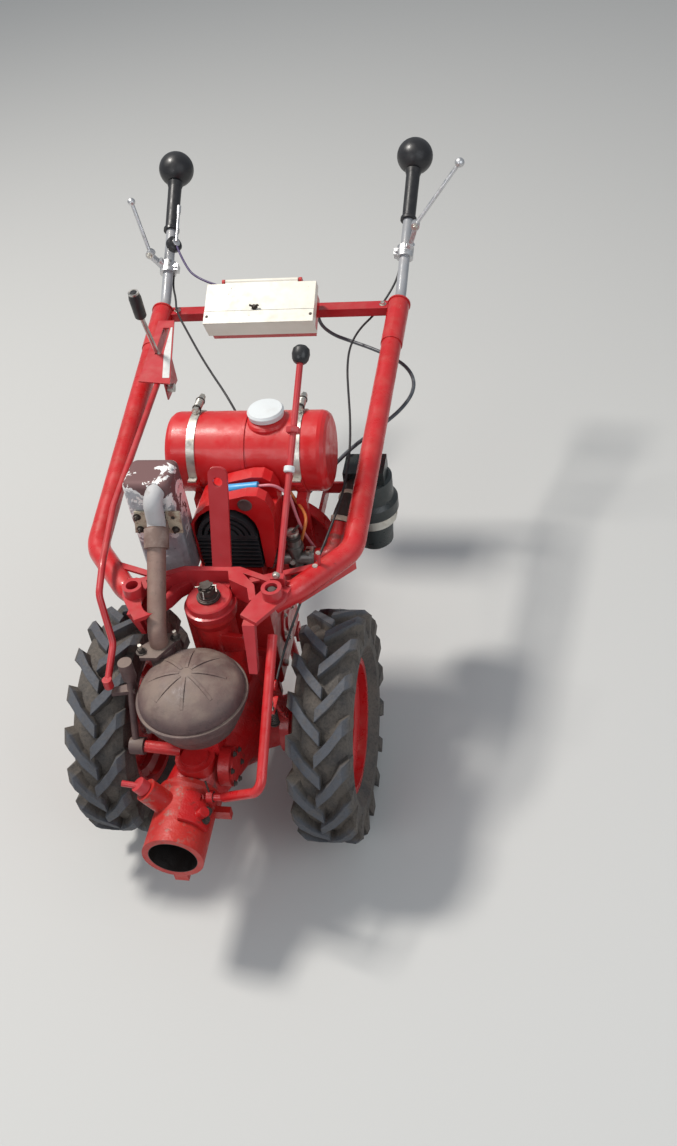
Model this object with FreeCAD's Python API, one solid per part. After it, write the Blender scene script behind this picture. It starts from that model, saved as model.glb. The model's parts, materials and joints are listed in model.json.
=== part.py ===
"""Walking tractor: a two-wheel tractor with a petrol engine behind its gearbox,
a swivelling handlebar on a turret post and a coupling sleeve for implements.

X points right, Y points from the coupling sleeve back to the handles, Z up.
While the pieces are made, the wheel axle lies on Y = 0 and Z = AXLE_Z, and the
median plane on X = 0.  At the end all of them shift together, so that the
origin is the bottom centre of the whole machine.  Lengths are millimetres.
"""
import FreeCAD
import Part
import math
import os
from collections import namedtuple

V = FreeCAD.Vector
ACROSS = V(1, 0, 0)
BACKWARD = V(0, 1, 0)
UP = V(0, 0, 1)

# Height of the wheel axle in the frame that the pieces are made in
AXLE_Z = 280.0

# Wheels and tyres
TYRE_D = 560.0
TYRE_W = 144.0
TYRE_WALL = 11.0
CARCASS_STEP = 3.0
HALF_TRACK = 258.0
RIM_D = 308.0
RIM_W = 92.0
RIM_T = 4.0
RIM_FLANGE = 12.0
WELL_DEPTH = 16.0
DISC_T = 5.0
DISC_BACK = 24.0
LUG_COUNT = 17
LUG_H = 25.0
LUG_T = 36.0
LUG_SWEEP = 82.0
LUG_PHASE = {1: 0.1686, -1: 0.3405}
HUB_R = 42.0
HUB_T = 12.0
AXLE_R = 17.5
SHAFT_IN = 60.0
SHAFT_STUB = 28.0

# Gearbox case, its nose and the turret post
CASE_W = 170.0
CASE_H = 210.0
CASE_RISE = 18.0
CASE_WALL = 12.0
CASE_FRONT = -120.0
CASE_BACK = 118.0
AXLE_TUBE_R = 44.0
AXLE_TUBE_ROOT_R = 66.0
AXLE_TUBE_END = 152.0
NOSE_Y = -210.0
NOSE_PAD_R = 45.0
POST_Y = 37.0
POST_R = 47.0
POST_TOP = AXLE_Z + 360.0
POST_RIM_R = 57.0
SPINDLE_R = 13.0

# Coupling sleeve, with its lock pin boss leaning up to the left
SLEEVE_X = -42.0
SLEEVE_Z = AXLE_Z + 49.0
SLEEVE_BORE = 108.0
SLEEVE_WALL = 15.0
SLEEVE_MOUTH = -424.0
SLEEVE_BACK = -262.0
BOSS_Y = -318.0
BOSS_R = 27.0
BOSS_REACH = 118.0
BOSS_OUT = V(-0.57, 0, 0.82).normalize()
PIN_R = 15.0

# Engine, set against the back face of the case
ENGINE_Y = CASE_BACK + 144.0
CYL_X = 11.0
BLOCK_W = 210.0
BLOCK_BACK = ENGINE_Y + 78.0
BLOCK_LOW = AXLE_Z + 5.0
BLOCK_TOP = AXLE_Z + 280.0
DECK_Z = BLOCK_TOP + 40.0
FIN_COUNT = 8
FIN_T = 4.0
FIN_PITCH = 12.0
HEAD_Z = DECK_Z + 100.0
HEAD_R = 69.0
CARB_Z = DECK_Z - 7.0
FAN_X = 95.0
FAN_Z = AXLE_Z + 275.0
FAN_R = 138.0
FAN_T = 32.0

# Tank and exhaust
TANK_R = 97.0
TANK_LEN = 390.0
TANK_POS = V(45, ENGINE_Y + 158, AXLE_Z + 510)
SADDLE_SHARE = 0.325
POT_POS = V(-15, -155, AXLE_Z + 280)
POT_R = 125.0
DOME_H = 72.0
DOME_R = 170.0
POT_DEPTH = 100.0
RIDGE = 4.0
NECK_AT = V(-100, -64, POT_POS.z + 54)
PIPE_R = 21.0
PIPE_WALL = 2.5
MUFFLER_LOW = V(-186, 150, AXLE_Z + 335)
MUFFLER_SIZE = V(112, 100, 287)

# Handlebar
TUBE_R = 27.0
TUBE_WALL = 3.0
GRIP_TUBE_R = 15.0
BALL_R = 52.0
BAR_X = 310.0
BAR_Z = POST_TOP + 40.0
CAP_T = 30.0
CAP_R = 58.0
PLATE_TOP = POST_TOP + 64.0
PLATE_T = 10.0
YOKE_BOSS = V(159, 10, PLATE_TOP)
CORNER = V(342, 1083, BAR_Z + 147.3)
GRIP_ROOT = V(352, 1290, BAR_Z + 265)
GRIP_END = V(361, 1478, BAR_Z + 372)
COLLAR = 5.0

# Toolbox, tilted towards the driver about its back edge
BOX_X = -26.0
BOX_W = 306.0
BOX_TILT = 29.0
BOX_BACK = V(BOX_X, 1004, BAR_Z + 242)
TRAY_D = 112.0
TRAY_H = 88.0
TRAY_T = 1.5
LID_D = 124.0
LID_H = 62.0
LID_T = 2.0
LID_GAP = 5.0
HINGE_R = 3.0
BARREL_R = 6.5
HINGE_SPAN = 102.0

# Parking stand
STAND_Y = BLOCK_BACK - 18.0
STAND_Z = AXLE_Z - 20.0
STAND_R = 12.0

SHEET = 1.6

# Clearances: a shaft in its bore, a resting face, and pieces that pass each other
FIT = 0.05
SEAT = 0.3
PASS = 13.0

NODES = {}


def add(name, shape):
    """Keep one finished node, without scraps that a cut has left."""
    if len(shape.Solids) > 0 and shape.ShapeType != "Solid":
        shape = max(shape.Solids, key=lambda piece: piece.Volume)
    NODES[name] = shape
    return shape


def box(x0, x1, y0, y1, z0, z1):
    return Part.makeBox(x1 - x0, y1 - y0, z1 - z0, V(x0, y0, z0))


def rod(a, b, r):
    """A round bar of radius r between two points."""
    a, b = V(a), V(b)
    return Part.makeCylinder(r, (b - a).Length, a, b - a)


def ring(a, b, r, bore):
    """A round bar with a bore."""
    return rod(a, b, r).cut(rod(a, b, bore))


def outline(points):
    return Part.makePolygon([V(p) for p in points] + [V(points[0])])


def prism(points, push):
    """A straight prism on a closed outline of points."""
    return Part.Face(outline(points)).extrude(V(push))


def flat(points, z0, z1):
    """A plate between two heights, on an outline given as X and Y."""
    return prism([(x, y, z0) for x, y in points], V(0, 0, z1 - z0))


def tapered(low, high):
    """A bar between two outlines."""
    return Part.makeLoft([outline(low), outline(high)], True, True)


def turned(profile, base, axis, side):
    """A turned piece: profile rows are (along the axis, radius) from base."""
    base, axis, side = V(base), V(axis).normalize(), V(side)
    side = (side - axis * side.dot(axis)).normalize()
    pts = [base + axis * a + side * r for a, r in profile]
    return Part.Face(outline(pts)).revolve(base, axis, 360)


def path_wire(points, radii):
    """Straight runs joined by tangent arcs of the given radii."""
    pts = [V(p) for p in points]
    edges = []
    start = pts[0]
    for i in range(1, len(pts) - 1):
        to_prev = (pts[i - 1] - pts[i]).normalize()
        to_next = (pts[i + 1] - pts[i]).normalize()
        half = to_prev.getAngle(to_next) / 2
        cut = radii[i - 1] / math.tan(half)
        p0 = pts[i] + to_prev * cut
        p2 = pts[i] + to_next * cut
        middle = (to_prev + to_next).normalize()
        centre = pts[i] + middle * (radii[i - 1] / math.sin(half))
        p1 = centre - middle * radii[i - 1]
        if (p0 - start).Length > 1e-4:
            edges.append(Part.LineSegment(start, p0).toShape())
        edges.append(Part.Arc(p0, p1, p2).toShape())
        start = p2
    edges.append(Part.LineSegment(start, pts[-1]).toShape())
    return Part.Wire(edges)


def bent(points, radii, r, wall=None):
    """A round tube or bar bent along a path."""
    wire = path_wire(points, radii)
    heading = V(points[1]) - V(points[0])

    def sweep(radius):
        circle = Part.Wire(Part.makeCircle(radius, V(points[0]), heading))
        return wire.makePipeShell([circle], True, True)

    solid = sweep(r)
    return solid.cut(sweep(r - wall)) if wall else solid


def cable(points, r):
    """A round cable or lead whose arcs are as large as their two runs allow."""
    pts = [V(p) for p in points]
    radii = []
    for i in range(1, len(pts) - 1):
        run, following = pts[i] - pts[i - 1], pts[i + 1] - pts[i]
        radii.append(0.45 * min(run.Length, following.Length) / math.tan(run.getAngle(following) / 2))
    print("arc radii", [round(radius) for radius in radii])
    return bent(pts, radii, r)


def rounded(shape, r, pick):
    """Fillet the edges that pick chooses."""
    return shape.makeFillet(r, [e for e in shape.Edges if pick(e)])


def runs(edge, axis):
    """Whether an edge is straight and runs along an axis."""
    d = edge.Vertexes[-1].Point - edge.Vertexes[0].Point
    return d.Length > 1e-6 and abs(d.dot(V(axis))) > 0.999 * d.Length


def hexagon(centre, across, height):
    """A hexagonal nut or bolt head, standing up from its centre."""
    r = across / math.sqrt(3)
    corners = [(centre.x + r * math.cos(k * math.pi / 3), centre.y + r * math.sin(k * math.pi / 3))
               for k in range(6)]
    return flat(corners, centre.z, centre.z + height)


# Wheels: tyre, rim and half shaft turn about the axle as one body.
def tyre(side, phase):
    """Carcass with a hollow inside and chevron lugs, staggered by half a pitch."""
    r_lug = TYRE_D / 2
    r_tread = r_lug - LUG_H
    half = TYRE_W / 2
    wide = half - CARCASS_STEP
    bead = RIM_D / 2
    tall = r_tread - bead
    seat = RIM_W / 2 - RIM_T - SEAT
    w = TYRE_WALL
    outer = [(seat, bead), (seat, bead + RIM_FLANGE + 2), (wide - 2, bead + 0.38 * tall),
             (wide, bead + 0.60 * tall), (wide - 9, r_tread - 0.12 * tall), (wide - 32, r_tread)]
    inner = [(seat - w, bead), (wide - 2 - w, bead + 0.38 * tall), (wide - w, bead + 0.58 * tall),
             (wide - 9 - w, r_tread - 0.12 * tall - w)]
    profile = outer + [(-x, r) for x, r in reversed(outer)]
    profile += [(-x, r) for x, r in inner] + list(reversed(inner))
    centre = V(side * HALF_TRACK, 0, AXLE_Z)
    carcass = turned(profile, centre, ACROSS, UP)
    Cut = namedtuple("Cut", "x_foot r_foot x_top r_top thick sweep")
    cuts = [Cut(half - 12, bead + 0.50 * tall, half - 1, bead + 0.56 * tall, 0.75, 0.0),
            Cut(half - 16, r_tread - 0.25 * tall, half, r_lug - 0.55 * LUG_H, 1.2, 0.0),
            Cut(half - 30, r_tread - 6, half - 16, r_lug - 1, 1.1, 0.16),
            Cut(0.4 * half, r_tread - 6, 0.4 * half, r_lug, 1.0, 0.58),
            Cut(-8, r_tread - 6, -6, r_lug, 0.9, 1.0)]
    step = 2 * math.pi / LUG_COUNT
    lugs = []
    for way, start in ((1, phase), (-1, phase + step / 2)):
        for k in range(LUG_COUNT):
            rings = []
            for c in cuts:
                mid = start + k * step - c.sweep * LUG_SWEEP / r_tread
                spread = c.thick * LUG_T / 2 / r_tread
                quad = []
                for x, r, s in ((c.x_foot, c.r_foot, -1), (c.x_foot, c.r_foot, 1),
                                (c.x_top, c.r_top, 0.8), (c.x_top, c.r_top, -0.8)):
                    a = mid + s * spread
                    quad.append(centre + V(way * side * x, -r * math.cos(a), r * math.sin(a)))
                rings.append(outline(quad))
            lugs.append(Part.makeLoft(rings, True, True))
    return carcass.fuse(lugs)


def rim(side):
    """Well-base rim with its dished disc, welded to the hub."""
    b, f, w, t = RIM_D / 2, RIM_FLANGE, RIM_W / 2, RIM_T
    well = b - WELL_DEPTH
    shelf, slope = w - 20, w - 30
    barrel = [(-w, b + f), (-w, b - t), (-shelf, b - t), (-slope, well - t), (slope, well - t),
              (shelf, b - t), (w, b - t), (w, b + f), (w - t, b + f), (w - t, b - SEAT),
              (shelf - 2, b - SEAT), (slope - 2, well), (2 - slope, well), (2 - shelf, b - SEAT),
              (t - w, b - SEAT), (t - w, b + f)]
    dish_r, hub_r = 0.65 * b, 0.455 * b
    face = DISC_T - DISC_BACK
    dish = [(8, well - t + 1), (2, well - t + 1), (-10, dish_r), (-10, hub_r), (-DISC_BACK, hub_r - 10),
            (-DISC_BACK, AXLE_R), (face, AXLE_R), (face, hub_r - 8), (-4, hub_r + 4), (-4, dish_r - 2)]
    centre = V(side * HALF_TRACK, 0, AXLE_Z)
    out = V(side, 0, 0)
    disc = turned(dish, centre, out, UP)
    hole_r = (dish_r + hub_r) / 2
    for k in range(4):
        a = math.pi / 4 + k * math.pi / 2
        p = centre + V(0, hole_r * math.cos(a), hole_r * math.sin(a))
        disc = disc.cut(rod(p - out * 2 * DISC_BACK, p + out * 2 * DISC_BACK, 11))
    return turned(barrel, centre, out, UP).fuse(disc)


def half_shaft(side):
    """The axle shaft with its flange, seated against the disc of the rim."""
    start = V(side * (AXLE_TUBE_END - SHAFT_IN), 0, AXLE_Z)
    face = HALF_TRACK - DISC_BACK - HUB_T - AXLE_TUBE_END + SHAFT_IN
    back = face + HUB_T
    profile = [(0, 0), (0, AXLE_R), (face, AXLE_R), (face, HUB_R), (back, HUB_R),
               (back, AXLE_R - FIT), (back + SHAFT_STUB, AXLE_R - FIT), (back + SHAFT_STUB, 0)]
    return turned(profile, start, V(side, 0, 0), UP)


for side, word in ((-1, "left"), (1, "right")):
    add("tyre_" + word, tyre(side, LUG_PHASE[side]))
    add("rim_" + word, rim(side))
    add("half_shaft_" + word, half_shaft(side))


# Gearbox case, with the axle tubes, the nose and the turret post in one casting.
Section = namedtuple("Section", "y x z w h r")


def oval(s, wall=0):
    """A rounded rectangle across Y, made smaller by a wall."""
    w, h = s.w - 2 * wall, s.h - 2 * wall
    r = min(s.r - wall, 0.48 * w, 0.48 * h)
    x0, x1, z0, z1 = s.x - w / 2, s.x + w / 2, s.z - h / 2, s.z + h / 2
    c = r * (1 - math.sqrt(0.5))
    corners = [(x1 - r, z0, x1 - c, z0 + c, x1, z0 + r), (x1, z1 - r, x1 - c, z1 - c, x1 - r, z1),
               (x0 + r, z1, x0 + c, z1 - c, x0, z1 - r), (x0, z0 + r, x0 + c, z0 + c, x0 + r, z0)]
    edges = []
    before = corners[-1]
    for k in corners:
        edges.append(Part.LineSegment(V(before[4], s.y, before[5]), V(k[0], s.y, k[1])).toShape())
        edges.append(Part.Arc(V(k[0], s.y, k[1]), V(k[2], s.y, k[3]), V(k[4], s.y, k[5])).toShape())
        before = k
    return Part.Wire(edges)


def lofted(rows, wall=0):
    return Part.makeLoft([oval(s, wall) for s in rows], True, True)


def gearbox():
    case_z = AXLE_Z + CASE_RISE
    front = Section(CASE_FRONT, 0, case_z + 22, CASE_W - 40, CASE_H - 60, 50)
    middle = [Section(y, 0, case_z, CASE_W, CASE_H, 55) for y in (CASE_FRONT / 2, CASE_BACK / 2)]
    back = Section(CASE_BACK, 0, case_z + 30, CASE_W - 10, CASE_H - 40, 42)
    case = lofted([front] + middle + [back])
    hollow = lofted([front._replace(y=CASE_FRONT + 20)] + middle + [back._replace(y=CASE_BACK - 16)],
                    CASE_WALL)
    nose = lofted([front, Section(NOSE_Y, SLEEVE_X / 2, SLEEVE_Z + 10, 128, 136, 50),
                   Section(SLEEVE_BACK, SLEEVE_X, SLEEVE_Z, 128, 128, 60)])
    tube = [(-AXLE_TUBE_END, AXLE_TUBE_R), (-CASE_W / 2, AXLE_TUBE_ROOT_R), (CASE_W / 2, AXLE_TUBE_ROOT_R),
            (AXLE_TUBE_END, AXLE_TUBE_R), (AXLE_TUBE_END, 0), (-AXLE_TUBE_END, 0)]
    foot = AXLE_Z + 50
    post = [(foot, 0), (foot, 60), (foot + 90, 52), (foot + 170, POST_R), (POST_TOP - 36, POST_R),
            (POST_TOP - 14, POST_RIM_R), (POST_TOP, POST_RIM_R), (POST_TOP, 0)]
    wide = CASE_W / 2 + 10
    flange = box(-wide, wide, CASE_BACK - 14, CASE_BACK, case_z - 58, case_z + 122)
    flange = rounded(flange, 20, lambda e: runs(e, BACKWARD))
    pad = V(SLEEVE_X / 2 - 4, NOSE_Y - 5, SLEEVE_Z + 20)
    pad_top = pad + UP * 65
    cross_shaft = pad_top + V(-35, 15, 2)
    cover = V(SLEEVE_X / 2 + 51, NOSE_Y + 5, SLEEVE_Z + 43)
    ear = [(POST_R - 27, POST_TOP - 105), (POST_R + 22, POST_TOP - 100), (POST_R + 34, POST_TOP - 80),
           (POST_R + 24, POST_TOP - 56), (POST_R - 27, POST_TOP - 48)]
    body = case.fuse([
        nose,
        turned(tube, V(0, 0, AXLE_Z), ACROSS, UP),
        turned(post, V(0, POST_Y, 0), UP, ACROSS),
        flange,
        rod(pad, pad_top, NOSE_PAD_R),
        rod(pad_top, pad_top + UP * 6, NOSE_PAD_R - 14),
        rod(cross_shaft, cross_shaft + V(-83, 0, 10), 14),
        rod(cover, cover + ACROSS * 26, 45),
        rod(cover, cover + ACROSS * 32, 34),
        prism([(x, POST_Y - 43, z) for x, z in ear], BACKWARD * 12)])
    body = body.cut(hollow)
    for s in (-1, 1):
        end = V(s * AXLE_TUBE_END, 0, AXLE_Z)
        body = body.cut(rod(end, end - V(s * SHAFT_IN, 0, 0), AXLE_R + FIT))
    return body.cut(rod(V(0, POST_Y, POST_TOP - SHAFT_IN), V(0, POST_Y, POST_TOP), SPINDLE_R))


CASE = add("gearbox_case", gearbox())

nut_z = POST_TOP + CAP_T + SEAT
spindle = rod(V(0, POST_Y, POST_TOP - SHAFT_IN), V(0, POST_Y, nut_z + 38), SPINDLE_R)
washers = [(0, SPINDLE_R - 1), (0, 27), (5, 27), (6, 22), (13, 22), (14, SPINDLE_R - 1)]
spindle = spindle.fuse(turned(washers, V(0, POST_Y, nut_z), UP, ACROSS))
add("turret_spindle", spindle.fuse(hexagon(V(0, POST_Y, nut_z + 12), 36, 18)))


# Coupling sleeve with its side boss and lock pin.
def sleeve():
    base = V(SLEEVE_X, SLEEVE_BACK, SLEEVE_Z)
    length = SLEEVE_BACK - SLEEVE_MOUTH
    bore = SLEEVE_BORE / 2
    skin = bore + SLEEVE_WALL
    profile = [(0, 0), (0, skin + 4), (12, skin + 4), (20, skin - 2), (length, skin), (length, bore),
               (40, bore), (40, 0)]
    centre = V(SLEEVE_X, BOSS_Y, SLEEVE_Z)
    mouth_lug = box(SLEEVE_X - 16, SLEEVE_X + 16, SLEEVE_MOUTH + 4, SLEEVE_MOUTH + 40,
                    SLEEVE_Z - skin - 26, SLEEVE_Z - bore - 4)
    side_lug = box(SLEEVE_X + bore + 4, SLEEVE_X + skin + 36, BOSS_Y + 8, BOSS_Y + 24,
                   SLEEVE_Z - 12, SLEEVE_Z + 14)
    body = turned(profile, base, -BACKWARD, UP).fuse([
        rod(centre + BOSS_OUT * (bore + 2), centre + BOSS_OUT * BOSS_REACH, BOSS_R), mouth_lug, side_lug])
    return body.cut(rod(centre + BOSS_OUT * (bore - 20), centre + BOSS_OUT * (BOSS_REACH + 12), PIN_R))


add("coupling_sleeve", sleeve())
boss_at = V(SLEEVE_X, BOSS_Y, SLEEVE_Z)
pin_head = boss_at + BOSS_OUT * (BOSS_REACH + 2)
pin = rod(boss_at + BOSS_OUT * (SLEEVE_BORE / 2 + 3), pin_head, PIN_R - FIT)
pin = pin.fuse([rod(pin_head, pin_head + BOSS_OUT * 22, 18),
                rod(pin_head + BOSS_OUT * 12, pin_head + BOSS_OUT * 12 + V(-42, 0, 8), 7)])
add("lock_pin", pin)


def sleeve_clamp():
    """A saddle on the sleeve's shoulder, with the eye that holds the shift rod."""
    skin = SLEEVE_BORE / 2 + SLEEVE_WALL + SEAT
    back = BOSS_Y + 22
    axis = V(SLEEVE_X, 0, SLEEVE_Z)
    saddle = ring(axis + BACKWARD * (back - 76), axis + BACKWARD * back, skin + 9, skin)
    reach = 2 * skin
    wedge = []
    for degrees in (22, 80):
        a = math.radians(degrees)
        wedge.append((SLEEVE_X + reach * math.cos(a), back - 80, SLEEVE_Z + reach * math.sin(a)))
    saddle = saddle.common(prism([(SLEEVE_X, back - 80, SLEEVE_Z)] + wedge, BACKWARD * 90))
    slope = V(1, 0, 1).normalize()
    foot = axis + BACKWARD * (back - 50) + slope * (skin + 4)
    eye = V(SLEEVE_X + 78, BOSS_Y + 12, SLEEVE_Z + 66)
    post = box(eye.x - 14, eye.x - 2, eye.y - 10, back, SLEEVE_Z + 34, eye.z - 6)
    body = saddle.fuse([rod(foot, foot + slope * 22, 12), post.cut(rod(axis - BACKWARD * 500, axis, skin)),
                        rod(eye - ACROSS * 14, eye, 15)])
    return body.cut(rod(eye - ACROSS * 30, eye + ACROSS * 30, 9))


add("sleeve_clamp", sleeve_clamp())

# Clutch crank on the end of the nose's cross shaft, up to the control rod.
crank_hub = V(SLEEVE_X / 2 - 143 - SEAT, NOSE_Y + 10, SLEEVE_Z + 97)
crank_top = V(-160, -132, POT_POS.z + 72)
crank = rod(crank_hub + ACROSS * 21, crank_hub - ACROSS * 12, 20)
crank = crank.fuse([rod(crank_hub, crank_top - UP * 48, 8), rod(crank_top - UP * 50, crank_top, 16),
                    flat([(-150, -150), (-202, -160), (-204, -142), (-154, -124)],
                         crank_top.z - 84, crank_top.z - 74),
                    rod(crank_top - UP * 84, crank_top - UP * 40, 10)])
add("clutch_crank", crank.cut(CASE))


# Engine: crankcase, finned cylinder, cowl, fan housing and recoil starter.
half_block = BLOCK_W / 2
crankcase = box(-half_block, half_block, CASE_BACK, BLOCK_BACK, BLOCK_LOW, BLOCK_TOP)
crankcase = rounded(crankcase, 24, lambda e: runs(e, BACKWARD))
port_at = V(CYL_X + 40, ENGINE_Y - 6, CARB_Z)
port_end = V(CYL_X + 77, port_at.y, CARB_Z)
PORT_R = 22.0
add("engine_block", crankcase.fuse([
    box(CYL_X - 67, CYL_X + 67, ENGINE_Y - 54, ENGINE_Y + 58, BLOCK_TOP - 1, DECK_Z),
    rod(port_at, port_end, PORT_R)]))


def cylinder():
    """Straight fins round the barrel and concentric arched fins on the head."""
    front, back = ENGINE_Y - 57, ENGINE_Y + 50
    fins = []
    for k in range(FIN_COUNT):
        z = DECK_Z + 6 + k * FIN_PITCH
        fins.append(box(CYL_X - 73, CYL_X + 73, front, back, z, z + FIN_T))
    head = rod(V(CYL_X, front, HEAD_Z), V(CYL_X, back, HEAD_Z), HEAD_R)
    head = head.cut(box(CYL_X - HEAD_R, CYL_X + HEAD_R, front, back, HEAD_Z - HEAD_R, HEAD_Z))
    for r in (60, 46, 32):
        face = V(CYL_X, front, HEAD_Z)
        head = head.cut(ring(face, face + BACKWARD * 14, r, r - 6))
    base = box(CYL_X - 73, CYL_X + 73, front, back, HEAD_Z - 4, HEAD_Z + 6)
    barrel = rod(V(CYL_X, ENGINE_Y, DECK_Z), V(CYL_X, ENGINE_Y, HEAD_Z), 42)
    return barrel.fuse(fins + [head, base]).cut(rod(port_at, port_end, PORT_R + SEAT))


add("engine_cylinder", cylinder())

# Cowl outlines as seen from the front: X, and height above the deck
COWL_OUTER = [(-71, SEAT), (104, SEAT), (118, 40), (130, 150), (128, 180), (118, 206), (100, 219),
              (74, 219), (20, 205), (-22, 190), (-54, 164), (-71, 135)]
COWL_INNER = [(-66, -1), (89, -1), (89, 116), (84, 140), (68, 164), (44, 178), (11, 182),
              (-22, 176), (-46, 160), (-62, 138), (-66, 116)]


def cowl():
    front = ENGINE_Y - 50
    outer = prism([(x, front, DECK_Z + z) for x, z in COWL_OUTER], BACKWARD * 106)
    inner = prism([(x, front - 7, DECK_Z + z) for x, z in COWL_INNER], BACKWARD * 109)
    port = box(CYL_X + 68, CYL_X + 130, port_at.y - 32, port_at.y + 32, CARB_Z - 40, CARB_Z + 50)
    plug_gap = box(CYL_X - 8, CYL_X + 130, ENGINE_Y - 18, ENGINE_Y + 18, DECK_Z + 160, DECK_Z + 240)
    return outer.cut(inner).cut(port).cut(plug_gap)


add("engine_cowl", cowl())
plug_foot = V(CYL_X + 6, ENGINE_Y, HEAD_Z + HEAD_R - 1)
plug = rod(plug_foot + UP * SEAT, plug_foot + UP * 33, 9)
plug = plug.cut(NODES["engine_cylinder"]).fuse(rod(plug_foot + V(-2, 0, 31), plug_foot + V(76, 0, 40), 11))
add("spark_plug_cap", plug)

fan_face = BLOCK_BACK + SEAT
fan_at = V(FAN_X, fan_face, FAN_Z)
shaft_at = V(CYL_X + 10, fan_face, AXLE_Z + 162)
fan = rod(fan_at, fan_at + BACKWARD * FAN_T, FAN_R)
fan = fan.fuse(rod(shaft_at, shaft_at + BACKWARD * FAN_T, 110))
fan_room = rod(fan_at, fan_at + BACKWARD * (FAN_T - 6), FAN_R - 6)
fan_room = fan_room.fuse(rod(shaft_at, shaft_at + BACKWARD * (FAN_T - 6), 104))
add("fan_housing", fan.cut(fan_room.cut(box(-half_block, half_block, fan_face, fan_face + 20,
                                            BLOCK_LOW, BLOCK_TOP))))
starter_at = V(CYL_X + 44, fan_face + FAN_T + SEAT, AXLE_Z + 205)
starter = [(0, 0), (0, 96), (10, 96), (16, 88), (34, 84), (44, 62), (46, 24), (52, 20), (52, 0)]
add("recoil_starter", turned(starter, starter_at, BACKWARD, UP))

# Carburettor, inlet and air cleaner on the right.
body_at = V(CYL_X + 144, port_at.y, CARB_Z)
carb = rod(port_end + ACROSS * SEAT, port_end + ACROSS * 8, 27)
carb = carb.fuse([
    rod(port_end + ACROSS * 4, V(CYL_X + 186, port_at.y, CARB_Z), 17),
    rod(body_at - UP * 62, body_at + UP * 66, 17),
    rod(body_at - UP * 64, body_at - UP * 20, 23),
    rod(body_at + UP * 60, body_at + UP * 76, 13),
    rod(body_at + UP * 30, body_at + UP * 42, 21),
    rod(V(CYL_X + 178, port_at.y, CARB_Z), V(CYL_X + 190, port_at.y, CARB_Z), 25)])
add("carburettor", carb)
ELBOW_R = 24.0
elbow_in = V(CYL_X + 190 + SEAT, port_at.y, CARB_Z)
elbow_out = V(CYL_X + 247, ENGINE_Y + 62, CARB_Z + 52)
add("inlet_elbow", bent([elbow_in, V(CYL_X + 235, port_at.y, CARB_Z), elbow_out], [34], ELBOW_R))

CAN_AT = V(304, ENGINE_Y + 238, AXLE_Z + 150)
can = [(0, 0), (0, 34), (14, 48), (84, 52), (88, 62), (116, 62), (120, 70), (150, 70), (160, 60),
       (218, 60), (222, 52), (222, 0)]
cleaner = turned(can, CAN_AT, UP, ACROSS)
top = CAN_AT + UP * 221
cleaner = cleaner.fuse(box(top.x - 56, top.x + 46, top.y - 40, top.y + 40, top.z, top.z + 37))
cleaner = cleaner.cut(rod(CAN_AT + UP * 20, CAN_AT + UP * 206, 44))
add("air_cleaner", cleaner)
hose_way = (elbow_out - V(CYL_X + 235, port_at.y, CARB_Z)).normalize()
hose_start = elbow_out + hose_way * SEAT
hose = bent([hose_start, hose_start + hose_way * 18, V(CAN_AT.x - 26, CAN_AT.y, CARB_Z + 54)], [40],
            ELBOW_R - 2)
add("intake_hose", hose.cut(NODES["air_cleaner"]).cut(NODES["inlet_elbow"]))


# The air cleaner hangs on an arm from the back of the fan housing.
arm_x, arm_y = FAN_X + 97, fan_face + FAN_T + SEAT
can_skin = CAN_AT.x - 60 - SEAT
arm = box(arm_x - 27, arm_x + 8, arm_y, arm_y + 6, FAN_Z + 5, FAN_Z + 77)
arm = arm.fuse([box(arm_x, arm_x + 8, arm_y, CAN_AT.y, FAN_Z + 45, FAN_Z + 77),
                box(arm_x, can_skin, CAN_AT.y - 8, CAN_AT.y, FAN_Z + 45, FAN_Z + 77)])
add("air_cleaner_bracket", arm)


# Fuel tank across the machine, on two saddles, with straps and a filler cap.
def tank():
    start = TANK_POS - ACROSS * (TANK_LEN / 2)
    mid = TANK_LEN / 2
    profile = [(0, 0), (0, TANK_R - 18), (4, TANK_R - 8), (12, TANK_R - 2), (20, TANK_R),
               (mid - 4, TANK_R), (mid - 4, TANK_R + 3), (mid + 4, TANK_R + 3), (mid + 4, TANK_R),
               (TANK_LEN - 20, TANK_R), (TANK_LEN - 12, TANK_R - 2), (TANK_LEN - 4, TANK_R - 8),
               (TANK_LEN, TANK_R - 18), (TANK_LEN, 0)]
    w = SHEET
    room = [(w, 0), (w, TANK_R - 18 - w), (13, TANK_R - 3 - w), (21, TANK_R - w),
            (TANK_LEN - 21, TANK_R - w), (TANK_LEN - 13, TANK_R - 3 - w), (TANK_LEN - w, TANK_R - 18 - w),
            (TANK_LEN - w, 0)]
    neck = [(0, 0), (0, 50), (TANK_R - 6, 50), (TANK_R, 46), (TANK_R + 8, 34), (TANK_R + 8, 0)]
    body = turned(profile, start, ACROSS, UP).fuse(turned(neck, FILLER, UP, ACROSS))
    return body.cut(turned(room, start, ACROSS, UP))


FILLER = TANK_POS + ACROSS * 51
add("fuel_tank", tank())
cap_profile = [(0, 0), (0, 42), (12, 44), (18, 40), (20, 0)]
add("filler_cap", turned(cap_profile, FILLER + UP * (TANK_R + 8), UP, ACROSS))

STRAP_LOW = TANK_POS.z - 8
SADDLE_HALF = 12.0
HOUSING_TOP = FAN_Z + FAN_R + 5


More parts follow.
